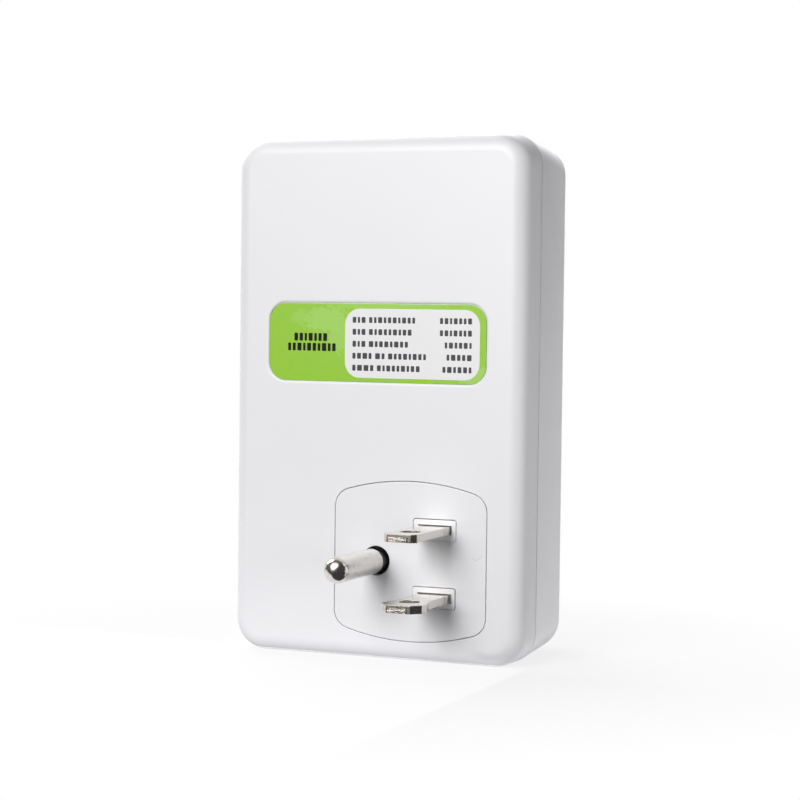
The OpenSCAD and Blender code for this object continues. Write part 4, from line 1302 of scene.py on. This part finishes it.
@dataclass(frozen=True)
class FrontHousing:
    """Front half: the deep box with the outlet's window, the lamps' holes and the posts."""

    sizes: Sizes
    tapers: Pair = (2.0, 0.7)
    edge: float = 3.55
    rebate: float = 1.0
    rebate_deep: float = 2.1
    lamp_gap: float = 0.1
    lamp_edge: float = 0.15
    post_r: float = 3.2
    bore_r: float = 1.45
    post_edge: float = 0.12
    sunk: float = 0.5

    def build(self) -> None:
        """Builds the shell as one closed surface, with its two screw posts."""
        s, skin = self.sizes, Skin()
        shell = Shell(s, s.front_y, self.tapers, self.edge, s.fine)
        inner, end = shell.rolled(Form.INNER)
        share = ((self.rebate_deep - shell.blend_from) / (end - shell.blend_from))[:, None]
        ledge = inner[0] + (inner[2] - inner[0]) * share
        step = [shell.ring(s.corner - self.rebate, d) for d in (0.0, self.rebate_deep)]
        rings = skin.bands(shell.outer() + step + [ledge] + inner[1:])
        face, frame = shell.plate_window(skin)
        lamps = [shell.open_cap(skin, circle(s.lamp_r + self.lamp_gap, 48) + [
            side * s.lamp_pitch, s.lamp_z], s.wall, self.lamp_edge) for side in (-1, 0, 1)]
        skin.fill(rings[0], face, *[lamp[0] for lamp in lamps])
        skin.fill(rings[-1], frame, *[lamp[1] for lamp in lamps])
        for side in (-1, 1):
            post, bore = (circle(r, 48) + [side * s.screw_x, s.label_z]
                          for r in (self.post_r, self.bore_r))
            skin.slab(post, [bore], shell.below(s.wall - self.sunk),
                      s.rear_y - s.board_y - s.board_t, self.post_edge)
        skin.piece("front_housing", HOUSING_WHITE, "shell", "front_shell")


@dataclass(frozen=True)
class PlugSide:
    """The arched plate with the blades' seats, the bush, the blades and the ground pin.

    For each blade, hot first, seat_off says how far its seat stands off along X and Z, and
    mouths how much wider its slot's mouth is and how far it stands off towards -X. Distances
    along the blades and the pin are measured from the rear face.
    """

    sizes: Sizes
    seat: Pair = (8.45, 3.85)
    seat_r: float = 0.35
    seat_gap: float = 0.1
    seat_off: tuple[Pair, ...] = ((0.0, -0.05), (0.07, -0.02))
    seat_edge: float = 0.09
    seat_sunk: float = 0.17
    mouths: tuple[Pair, ...] = ((0.3, 0.06), (0.46, 0.1))
    mouth_h: float = 0.24
    mouth_deep: float = 1.1
    slot_more: float = 0.06
    slot_r: float = 0.1
    fine_edge: float = 0.02
    hole_r: float = 2.75
    carrier_t: float = 4.4
    carrier_gap: float = 0.3
    flange: Pair = (34.81, 32.81)
    flange_r: float = 2.0
    flange_t: float = 1.8
    flange_lap: float = 0.4
    screw_at: Pair = (15.4, 14.41)
    screw_r: float = 1.1
    edge: float = 0.1
    bush_r: float = 3.9
    bush_off: float = 0.15
    bush_bore: float = 3.4
    bush_floor: float = 1.4
    collar_r: float = 2.1
    collar_h: float = 1.4
    collar_edge: Pair = (0.12, 0.04)
    blade_w: float = 6.35
    wide_w: float = 7.94
    wide_y: Pair = (10.2, 12.9)
    blade_t: float = 1.5
    blade_len: float = 17.0
    blade_hole: Pair = (1.95, 11.7)
    blade_corner: float = 0.12
    blade_flat: float = 0.04
    end_half: float = 2.32
    tail_y: float = -9.4
    shoulder_y: Pair = (-6.0, -4.6)
    tail_half: float = 2.3
    shoulder_half: float = 4.7
    pin_r: float = 2.38
    pin_edge: float = 0.35
    pin_len: float = 19.5
    neck_r: float = 1.6
    flange_pin_r: float = 3.3
    tail_chamfer: float = 0.15

    def bush_middle(self) -> list[float]:
        """Middle of the bush and its hole, a little off the pin's."""
        return [self.sizes.ground_x - self.bush_off, self.sizes.plug_z]

    def plate(self) -> None:
        """Builds the inlaid plate with a window for each seat and the pin's round hole."""
        s, skin = self.sizes, Skin()
        wide = np.array(self.seat) + 2 * self.seat_gap
        holes = [soften(rectangle(*wide), self.seat_r + self.seat_gap, 5) + [s.plug_x, z]
                 for z in s.blade_heights()]
        holes.append(circle(self.hole_r) + self.bush_middle())
        skin.slab(s.arched(), holes, s.rear_y - s.plate_t, s.rear_y, s.rim, flat=s.fine)
        skin.piece("plug_inlay", PLUG_INLAY_WHITE, "inlay", "plug_plate")

    def slots(self, mouth: bool) -> list[np.ndarray]:
        """The two blades' slots: wide at the mouth, towards -X, and close-fitting below it.

        Args:
            mouth: whether the mouths are meant.

        Returns:
            The outlines, first the hot blade's.
        """
        s, made = self.sizes, []
        for z, (wider, off) in zip(s.blade_heights(), self.mouths):
            more, high, moved, up = (wider, self.mouth_h, off, s.fine) if mouth else (
                self.slot_more, self.slot_more, 0.0, 0.0)
            slot = rectangle(self.blade_w + more, self.blade_t + high)
            made.append(soften(slot, self.slot_r, 3, s.fine) + [s.plug_x - moved, z + up])
        return made

    def carrier(self) -> None:
        """Builds the block behind the plate, its flange and the two seats in the windows."""
        s, skin = self.sizes, Skin()
        back, step = s.rear_y - s.plate_t, s.rear_y - self.mouth_deep
        bush = circle(self.bush_r + self.edge) + self.bush_middle()
        block = inset(s.window(), self.carrier_gap)
        skin.slab(block, self.slots(False) + [bush], back - self.carrier_t, back, self.edge,
                  flat=self.fine_edge)
        flange = soften(rectangle(*self.flange), self.flange_r) + [s.plate_x, s.plate_z]
        x, z = self.screw_at
        holes = [circle(self.screw_r, 32) + [s.plate_x + sx * x, s.plate_z + sz * z]
                 for sx in (-1, 1) for sz in (-1, 1)]
        high = back - s.ledge_t
        skin.slab(flange, holes + [inset(block, self.flange_lap)], high - self.flange_t, high,
                  self.edge)
        for z, off, mouth, slot in zip(s.blade_heights(), self.seat_off, self.slots(True),
                                       self.slots(False)):
            seat = soften(rectangle(*self.seat), self.seat_r, 5) + [s.plug_x, z] + off
            skin.slab(seat, [mouth], step, s.rear_y, self.seat_edge, low_edge=self.fine_edge,
                      flat=s.fine)
            skin.slab(seat, [slot], back - self.seat_sunk, step + s.fine, self.fine_edge,
                      flat=self.fine_edge)
        skin.piece("blade_block", CARRIER_WHITE, "carrier", "blade_carrier")

    def bush(self) -> None:
        """Builds the dark bush, whose collar closes the root of the pin."""
        s, skin, e = self.sizes, Skin(), self.edge
        back, front = -s.plate_t - self.carrier_t, -s.plate_t
        bore, inner, top = self.neck_r + self.bush_off + e / 2, self.bush_bore, self.collar_h
        floor, (wide, fine), r = back + self.bush_floor, self.collar_edge, self.collar_r
        profile = [(bore, floor), (bore, top - e), (bore + e, top), (r - wide, top),
                   (r - fine, top - fine), (r, top - wide), (r, front + e), (r + e, front),
                   (self.bush_r - 1.5 * e, front), (self.bush_r, front - 1.5 * e),
                   (self.bush_r, back + e), (self.bush_r - e, back), (inner, back),
                   (inner, floor)]
        x, z = self.bush_middle()
        rings = skin.bands([lay(circle(r), h) + (x, s.rear_y, z) for r, h in profile])
        skin.band(rings[-1], rings[0])
        skin.piece("bush_ring", BUSH_BLACK, "black_plastic", "ground_bush")

    def blade(self, name: str, node: str, tip_w: float, height: float) -> None:
        """Builds a stamped blade: root, neck, tip with sheared corners, and the round hole.

        Args:
            name: the piece's name.
            node: the CAD node that it stands for.
            tip_w: width of the tip.
            height: height of the blade's middle.
        """
        s, skin = self.sizes, Skin()
        neck, tip, (low, high) = self.blade_w / 2, tip_w / 2, self.shoulder_y
        half = [(self.tail_half, self.tail_y), (self.tail_half, low), (self.shoulder_half, low),
                (self.shoulder_half, high), (neck, high)]
        if tip > neck:
            half += zip((neck, tip), self.wide_y)
        half += [(tip, self.blade_len - tip + self.end_half), (self.end_half, self.blade_len)]
        right = np.array(half)
        corners = np.concatenate([right, right[::-1] * [-1, 1]])
        outline = soften(corners, self.blade_corner, 4, 0.06) + [s.plug_x, s.rear_y]
        hole_r, hole_y = self.blade_hole
        skin.slab(outline, [circle(hole_r, 72) + [s.plug_x, s.rear_y + hole_y]],
                  height - self.blade_t / 2, height + self.blade_t / 2, self.edge, Lie.LEVEL,
                  flat=self.blade_flat)
        skin.piece(name, BLADE_NICKEL, "nickel", node)

    def pin(self) -> None:
        """Builds the turned pin: shoulder, neck, shank and dome.

        The dome is a quarter circle of the pin's radius, drawn from the shank to the axis.
        """
        s, skin = self.sizes, Skin()
        r, e, start = self.pin_r, self.pin_edge, self.collar_h + 0.05
        c, wide, neck, (low, high) = self.edge, self.flange_pin_r, self.neck_r, self.shoulder_y
        top, tail, cut = self.pin_len - r, self.tail_y, self.tail_chamfer
        turn = np.linspace(0, math.pi / 2, 25)
        dome = np.stack([r * np.cos(turn), top + r * np.sin(turn)], axis=1)
        bend = turn[::4]
        edge = np.stack([r - e + e * np.sin(bend), start + e - e * np.cos(bend)], axis=1)
        profile = np.concatenate([
            [(0, tail), (neck - cut, tail), (neck, tail + cut), (neck, low), (wide - c, low),
             (wide, low + c), (wide, high - c), (wide - c, high), (neck, high), (neck, start)],
            edge, [(r, start + e + 0.1), (r, top - 0.3)], dome])
        skin.lathe(profile, (s.ground_x, s.rear_y, s.plug_z))
        skin.piece("ground_pin_metal", PIN_NICKEL, "nickel", "ground_pin")

    def build(self) -> None:
        """Builds all the pieces of the plug's side."""
        hot, neutral = self.sizes.blade_heights()
        self.plate()
        self.carrier()
        self.bush()
        self.blade("hot_blade_metal", "hot_blade", self.blade_w, hot)
        self.blade("neutral_blade_metal", "neutral_blade", self.wide_w, neutral)
        self.pin()


@dataclass(frozen=True)
class RatingLabel:
    """The coloured label with its pale panel and plain bars where a label has its wording.

    The panel is given by its middle over the label's, its width, height and corner radius. Each
    of the rows has words on its left, given by their widths, and one on its right, and the two
    codes on the green are given by their middle, their height and their width.
    """

    sizes: Sizes
    panel: tuple[float, ...] = (-7.24, -0.08, 27.08, 12.97, 3.0)
    rows: tuple[float, ...] = (4.29, 2.05, -0.2, -2.44, -4.69)
    left_x: float = 4.75
    left_words: tuple[tuple[float, ...], ...] = (
        (2.6, 9.3), (2.6, 8.6), (2.6, 7.9), (3.9, 1.9, 7.6), (4.3, 8.6))
    right_x: float = -19.19
    right_words: tuple[float, ...] = (6.3, 6.3, 5.3, 4.9, 5.7)
    codes: tuple[tuple[float, float, float], ...] = ((13.45, 0.95, 6.8), (13.2, -0.93, 9.9))
    bar_h: float = 1.1
    code_h: float = 1.48
    letter: float = 0.62
    letter_r: float = 0.14
    letter_edge: float = 0.004
    between: float = 0.34
    uneven: float = 0.28
    word_gap: float = 0.75
    layer: float = 0.02
    film_edge: float = 0.04
    panel_edge: float = 0.006
    panel_flat: float = 0.01

    def word(self, skin: Skin, right: float, width: float, z: float, low: float,
             tall: float) -> None:
        """Adds a row of small blocks with the uneven widths of letters.

        The widths follow a sine of the block's number, and together with the gaps they fill
        the word's width.

        Args:
            skin: where they are added.
            right: the end of the word at its larger X.
            width: width of the word.
            z: height of its middle over the label's.
            low: the surface that it is printed on.
            tall: height of the blocks.
        """
        count = max(1, round(width / (self.letter + self.between)))
        shares = 1 + self.uneven * np.sin(2.4 * np.arange(count) + width)
        widths = shares * (width - (count - 1) * self.between) / shares.sum()
        ends = right - np.cumsum(widths + self.between) + self.between
        for end, letter in zip(ends, widths):
            block = soften(rectangle(letter, tall), self.letter_r, 2, self.layer) + [
                end + letter / 2, self.sizes.label_z + z]
            skin.slab(block, [], low - self.layer / 2, low + self.layer, self.letter_edge,
                      flat=self.letter_edge, steps=1)

    def build(self) -> None:
        """Builds the film, the panel and the two colours of bars."""
        s = self.sizes
        top = s.rear_y - s.label_deep + s.label_t
        film, panel, bars, code_bars = Skin(), Skin(), Skin(), Skin()
        film.slab(soften(rectangle(s.label_w, s.label_h), s.label_r, 14) + [0, s.label_z], [],
                  top - s.label_t, top, self.film_edge, flat=s.fine)
        film.piece("label_film", LABEL_GREEN, "label", "rating_label")
        x, z, w, h, r = self.panel
        panel.slab(soften(rectangle(w, h), r, 14) + [x, s.label_z + z], [], top - self.layer,
                   top + self.layer, self.panel_edge, flat=self.panel_flat)
        panel.piece("label_panel", LABEL_PANEL, "label")
        for z, left, width in zip(self.rows, self.left_words, self.right_words):
            starts = self.left_x - np.cumsum((0, *left[:-1])) - self.word_gap * np.arange(len(left))
            for start, w in [*zip(starts, left), (self.right_x + width, width)]:
                self.word(bars, start, w, z, top + self.layer, self.bar_h)
        bars.piece("label_bars", INK_GREY, "label")
        for middle, z, width in self.codes:
            self.word(code_bars, middle + width / 2, width, z, top, self.code_h)
        code_bars.piece("label_code_bars", INK_BLACK, "label")


@dataclass(frozen=True)
class OutletSide:
    """The arched plate of the outlet and the three lamps above it."""

    sizes: Sizes
    slots: Pair = (7.0, 8.8)
    slot_h: float = 2.2
    slot_r: float = 0.25
    ground_r: float = 2.7
    flange: Pair = (0.4, 1.0)
    edge: float = 0.1

    def plate(self) -> None:
        """Builds the inlaid plate with its three openings."""
        s, skin = self.sizes, Skin()
        holes = [soften(rectangle(w, self.slot_h), self.slot_r, 4) + [s.plug_x, z]
                 for w, z in zip(self.slots, s.blade_heights())]
        holes.append(circle(self.ground_r) + [s.ground_x, s.plug_z])
        skin.slab(s.arched(), holes, s.front_y, s.front_y + s.plate_t, s.rim, flat=s.fine)
        skin.piece("outlet_inlay", INLAY_WHITE, "inlay", "outlet_face")

    def lamp(self, step: int, colour: str, finish: Finish) -> None:
        """Builds one lamp: a dome, a straight body and the rim behind the wall.

        Args:
            step: its place in the row.
            colour: the colour's name.
            finish: what it is dressed in.
        """
        s, skin, r, e = self.sizes, Skin(), self.sizes.lamp_r, self.edge
        more, long = self.flange
        rim, wide = s.wall + s.lamp_proud - r + e, r + more
        turn = np.linspace(math.pi / 2, 0, 17)
        dome = np.stack([r * np.cos(turn), -r * np.sin(turn)], axis=1)
        profile = np.concatenate([dome, [
            (r, 2 * e), (r, rim), (wide - e, rim), (wide, rim + e), (wide, rim + long - e),
            (wide - e, rim + long), (0, rim + long)]])
        skin.lathe(profile, (step * s.lamp_pitch, s.front_y - s.lamp_proud + r, s.lamp_z), 48)
        skin.piece("lamp_lens_" + colour, finish, "lens_" + colour, colour + "_lamp")

    def build(self) -> None:
        """Builds the plate and the lamps."""
        self.plate()
        self.lamp(-1, "green", LAMP_GREEN)
        self.lamp(0, "yellow", LAMP_YELLOW)
        self.lamp(1, "red", LAMP_RED)


@dataclass(frozen=True)
class Wire:
    """One insulated wire inside the housing, along the points of its solid."""

    name: str
    node: str
    slot: str
    finish: Finish
    radius: float
    route: tuple[Point, ...]

    def build(self) -> None:
        """Sweeps a circle along the route.

        The circle at each point stands square to the route there; its first direction is carried
        along by taking off the part that lies along the route.
        """
        points = np.array(self.route)
        along = np.gradient(points, axis=0)
        along /= np.linalg.norm(along, axis=1, keepdims=True)
        side = np.cross(along[0], [1.0, 0.0, 0.0])
        turn = circle(self.radius, 20)
        skin, rings = Skin(), []
        for point, way in zip(points, along):
            side = side - way * (side @ way)
            side /= np.linalg.norm(side)
            rings.append(point + turn @ np.stack([side, np.cross(way, side)]))
        added = skin.bands(rings)
        skin.faces += [added[0].tolist(), added[-1].tolist()]
        skin.piece(self.name, self.finish, self.slot, self.node)


WIRES = (
    Wire("hot_in_insulation", "hot_in_wire", "black_wire", WIRE_BLACK, 1.28, (
        (-12.4, -2.8, 25.9), (-12.4, -2.8, 28), (-12.8, -2.9, 30.4), (-14.8, -3.2, 32.8),
        (-18, -3.8, 34.6), (-21.2, -4.8, 36.2), (-23, -5.8, 38.2), (-23.2, -5.6, 40.2),
        (-23.2, -4.2, 40.8), (-23.2, -2.8, 40.8))),
    Wire("hot_out_insulation", "hot_out_wire", "black_wire", WIRE_BLACK, 1.28, (
        (5.6, -2.8, 40.4), (5.6, -5.4, 40.4), (5.6, -7.8, 39.2), (4, -9.4, 37.2),
        (0, -9.6, 36.6), (-4, -9.6, 36.6), (-8, -9.6, 36.6), (-11, -9.4, 36.2),
        (-12.3, -9, 35.2), (-12.4, -9, 34.1))),
    Wire("neutral_insulation", "neutral_wire", "white_wire", WIRE_WHITE, 0.78, (
        (-24.6, -7.2, 15), (-24.6, -7.2, 18), (-25, -7, 22), (-25.2, -6.8, 28),
        (-25.2, -6.6, 34), (-25, -6.4, 40), (-24.2, -6.2, 45), (-23, -4.6, 48),
        (-23, -2.8, 48))),
)

# The CAD solids that keep their own shape, by their finish
KEPT: dict[Finish, tuple[str, ...]] = {
    RETAINER_GREY: ("blade_retainer",),
    SCREW_ZINC: ("carrier_screws", "case_screws", "outlet_screws"),
    BLOCK_GREY: ("outlet_block", "outlet_cover"),
    SPRING_BRONZE: ("hot_contact", "neutral_contact", "ground_contact"),
    STRIP_COPPER: ("neutral_strap", "ground_strap"), FIBRE_SHEET: ("barrier",),
    BOARD_GREEN: ("circuit_board",), RELAY_BLACK: ("relay_base",), RELAY_BLUE: ("relay_cover",),
    BOBBIN_CREAM: ("relay_bobbin",), COIL_COPPER: ("relay_coil",),
    MAGNET_IRON: ("relay_core", "relay_yoke"), ARMATURE_IRON: ("relay_armature",),
    TINNED_BRASS: ("relay_terminals",), FILM_YELLOW: ("film_capacitor",),
    DISC_BLUE: ("varistor",), CAN_SLEEVE: ("electrolytic_capacitors",),
    CHIP_BLACK: ("rectifier", "controller_chip", "transistor", "diodes"),
    RESISTOR_TAN: ("resistors",), CERAMIC_TAN: ("ceramic_capacitors",),
    TINNED_WIRE: ("lamp_leads",),
}


@dataclass(frozen=True)
class Lamp:
    """One softbox: watts, width and depth, place and aim, in metres."""

    name: str
    watts: float
    size: Pair
    at: Point
    aim: Point = (0.0, 0.0, 0.05)


@dataclass(frozen=True)
class Card:
    """One studio card: shade, corners in metres, what sees it and its brightness."""

    name: str
    shade: str
    corners: tuple[Point, ...]
    use: CardUse = CardUse.REFLECTION
    strength: float = 1.0


def upright(x: float, y: float, far_x: float, far_y: float) -> tuple[Point, ...]:
    """Corners of a card that stands on the floor from one place (x, y) to another."""
    return ((x, y, 0.0), (far_x, far_y, 0.0), (far_x, far_y, CARD_TOP), (x, y, CARD_TOP))


def level(height: float, *corners: Pair) -> tuple[Point, ...]:
    """Corners of a flat card at a height."""
    return tuple((x, y, height) for x, y in corners)


@dataclass(frozen=True)
class Studio:
    """Camera, floor, lamps, cards and world.

    The floor's share of white grows between the first two distances of floor_white, in metres,
    from its third value to its fourth. A lamp below foot_height isn't reflected.
    """

    camera_mm: Point = (-161.342, 375.954, 65.832)
    camera_turn: Point = (1.5286740469359705, -0.012102964073828534, -2.7416420822054595)
    lens_mm: float = 97.2448
    sensor_mm: float = 36.0
    clip: Pair = (0.01, 20.0)
    floor_size: float = 4.0
    floor_colour: str = "#f2f2f4"
    floor_white: tuple[float, ...] = (0.03, 0.1, 0.8, 1.0)
    ambient: float = 0.02
    lamps: tuple[Lamp, ...] = (
        Lamp("key", 8.35, (0.44, 0.64), (0.182, 0.871, 0.42)),
        Lamp("side_front", 0.094, (0.1, 0.1), (-0.17, 0.06, 0.03)),
        Lamp("top", 1.8, (0.4, 0.4), (0.36, -0.2, 0.42)),
        Lamp("back", 2.4, (0.5, 0.5), (0.198, -0.659, 0.182)),
        Lamp("foot_glow", 0.00004, (0.056, 0.0034), (0.0, 0.0045, 0.00005),
             (0.0, 0.0045, 1.0)),
        Lamp("side_foot", 0.0006, (0.012, 0.05), (-0.037, -0.004, 0.0003),
             (-0.037, -0.004, 1.0)),
    )
    foot_height: float = 0.05
    cards: tuple[Card, ...] = (
        Card("side_card", "#45454a", upright(-0.5, -0.1, -0.5, 0.6)),
        Card("rear_card", "#77777a", upright(-0.8, -1.5, -0.1, -1.5)),
        Card("table_card", "#403f42", level(
            0.001, (-0.5, 0.006), (-0.022, 0.006), (-0.002, 0.021), (0.014, 0.046),
            (0.065, 0.062), (0.9, 0.15), (0.9, 0.9), (-0.5, 0.9)), CardUse.FLAG),
        Card("floor_felt", "#b4b4b6", level(
            0.0005, (-0.03, 0.004), (0.4, -0.02), (0.5, 0.4), (-0.03, 0.4)), CardUse.FELT),
        Card("view_card", "#3b3a44", upright(-0.5, 0.6, 0.12, 0.9)),
        Card("far_card", "#5a5551", upright(0.12, 0.9, 1.2, 0.9)),
        Card("left_card", "#6e6863", upright(1.2, 0.9, 1.2, -0.25)),
        Card("ceiling_card", "#6e6863", level(
            CARD_TOP, (-0.6, -0.45), (1.2, -0.45), (1.2, 0.9), (-0.6, 0.9))),
        Card("softbox_card", "#ffffff", (
            (-0.04, 0.18, 0.546), (-0.212, 0.249, 0.474), (-0.206, 0.387, 0.295),
            (-0.014, 0.503, 0.127), (0.22, 0.512, 0.091), (0.34, 0.408, 0.211),
            (0.334, 0.27, 0.39), (0.206, 0.19, 0.51)), strength=1.5),
    )

    def camera(self) -> None:
        """Places the camera where the photograph's stood."""
        data = bpy.data.cameras.new("view")
        data.lens = self.lens_mm
        data.sensor_width = self.sensor_mm
        data.clip_start, data.clip_end = self.clip
        view = bpy.data.objects.new("view", data)
        view.location = [c * MM for c in self.camera_mm]
        view.rotation_euler = self.camera_turn
        bpy.context.scene.collection.objects.link(view)
        bpy.context.scene.camera = view

    def white_for_view(self, tree: Tree) -> Socket:
        """Finds the rays that see the background, also in metal or glass.

        Args:
            tree: the node tree.

        Returns:
            1 for these rays and 0 for all others.
        """
        path = add(tree, "LightPath").node.outputs
        seen = path["Is Camera Ray"]
        for name in ("Is Glossy Ray", "Is Transmission Ray"):
            seen = add(tree, "Math", [seen, path[name]], operation="MAXIMUM")
        return seen

    def flat_sheet(self, name: str, corners: Sequence[Point],
                   finish: str) -> tuple[bpy.types.Object, Tree]:
        """Makes one staged flat sheet with an empty material.

        Args:
            name: the sheet's name.
            corners: its corners, in metres.
            finish: name of its material.

        Returns:
            The sheet and its material's node tree.
        """
        mesh = bpy.data.meshes.new(name)
        mesh.from_pydata(list(corners), [], [tuple(range(len(corners)))])
        sheet = bpy.data.objects.new(name, mesh)
        bpy.context.scene.collection.objects.link(sheet)
        material = bpy.data.materials.new(finish)
        material.use_nodes = True
        material.node_tree.nodes.clear()
        mesh.materials.append(material)
        return sheet, material.node_tree

    def floor(self) -> None:
        """Lays a pale floor that looks white and keeps the object's shadow."""
        size = self.floor_size
        _, tree = self.flat_sheet("floor", level(0.0, (-size, -size), (size, -size),
                                                 (size, size), (-size, size)), "pale_paper")
        paper = add(tree, "BsdfDiffuse", {"Color": linear(self.floor_colour)})
        glow = add(tree, "Emission", {"Color": (1, 1, 1, 1), "Strength": 1.0})
        far = add(tree, "VectorMath", [object_place(tree)], "Value", operation="LENGTH")
        share = ramps(tree, (self.white_for_view(tree), 0, 1, 0, 1), (far, *self.floor_white))
        add(tree, "OutputMaterial", [add(tree, "MixShader", [share, paper, glow])])

    def world(self) -> None:
        """Gives even soft light, and a white background to whatever sees it."""
        world = bpy.data.worlds.new("studio")
        bpy.context.scene.world = world
        world.use_nodes = True
        tree = world.node_tree
        tree.nodes.clear()
        strength = add(tree, "MapRange", [self.white_for_view(tree), 0, 1, self.ambient, 1.0])
        light = add(tree, "Background", {"Color": (1, 1, 1, 1), "Strength": strength})
        add(tree, "OutputWorld", [light])

    def softbox(self, lamp: Lamp) -> None:
        """Hangs one lamp, turned towards its aim and unseen by the camera.

        Args:
            lamp: the lamp.
        """
        data = bpy.data.lights.new(lamp.name, "AREA")
        data.energy = lamp.watts
        data.shape = "RECTANGLE"
        data.size, data.size_y = lamp.size
        hung = bpy.data.objects.new(lamp.name, data)
        hung.location = lamp.at
        way = Vector(lamp.aim) - Vector(lamp.at)
        hung.rotation_euler = way.to_track_quat("-Z", "Y").to_euler()
        hung.visible_camera = False
        hung.visible_glossy = lamp.at[2] > self.foot_height
        bpy.context.scene.collection.objects.link(hung)

    def card(self, card: Card) -> None:
        """Sets up one card, unseen by the camera.

        Args:
            card: the card.
        """
        sheet, tree = self.flat_sheet(card.name, card.corners, card.name + "_felt")
        add(tree, "OutputMaterial", [add(tree, "Emission", {
            "Color": linear(card.shade), "Strength": card.strength})])
        sheet.visible_camera = False
        sheet.visible_diffuse = card.use is not CardUse.REFLECTION
        sheet.visible_glossy = card.use is not CardUse.FELT
        sheet.visible_shadow = False

    def build(self) -> None:
        """Sets up the whole studio."""
        bpy.context.scene.view_settings.view_transform = "Standard"
        self.camera()
        self.floor()
        self.world()
        for lamp in self.lamps:
            self.softbox(lamp)
        for card in self.cards:
            self.card(card)


def main() -> None:
    """Loads the frame, builds every piece and dresses the solids that keep their shape."""
    logging.basicConfig(level=logging.INFO, format="%(message)s")
    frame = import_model()
    sizes = Sizes()
    for assembly in (Studio(), RearHousing(sizes), FrontHousing(sizes), PlugSide(sizes),
                     RatingLabel(sizes), OutletSide(sizes), *WIRES):
        assembly.build()
    for finish, nodes in KEPT.items():
        for node in nodes:
            materials = frame["nodes"][node].data.materials
            materials.clear()
            materials.append(finish.material())
            log.info("%s: %s", node, finish.name)


if __name__ == "__main__":
    main()
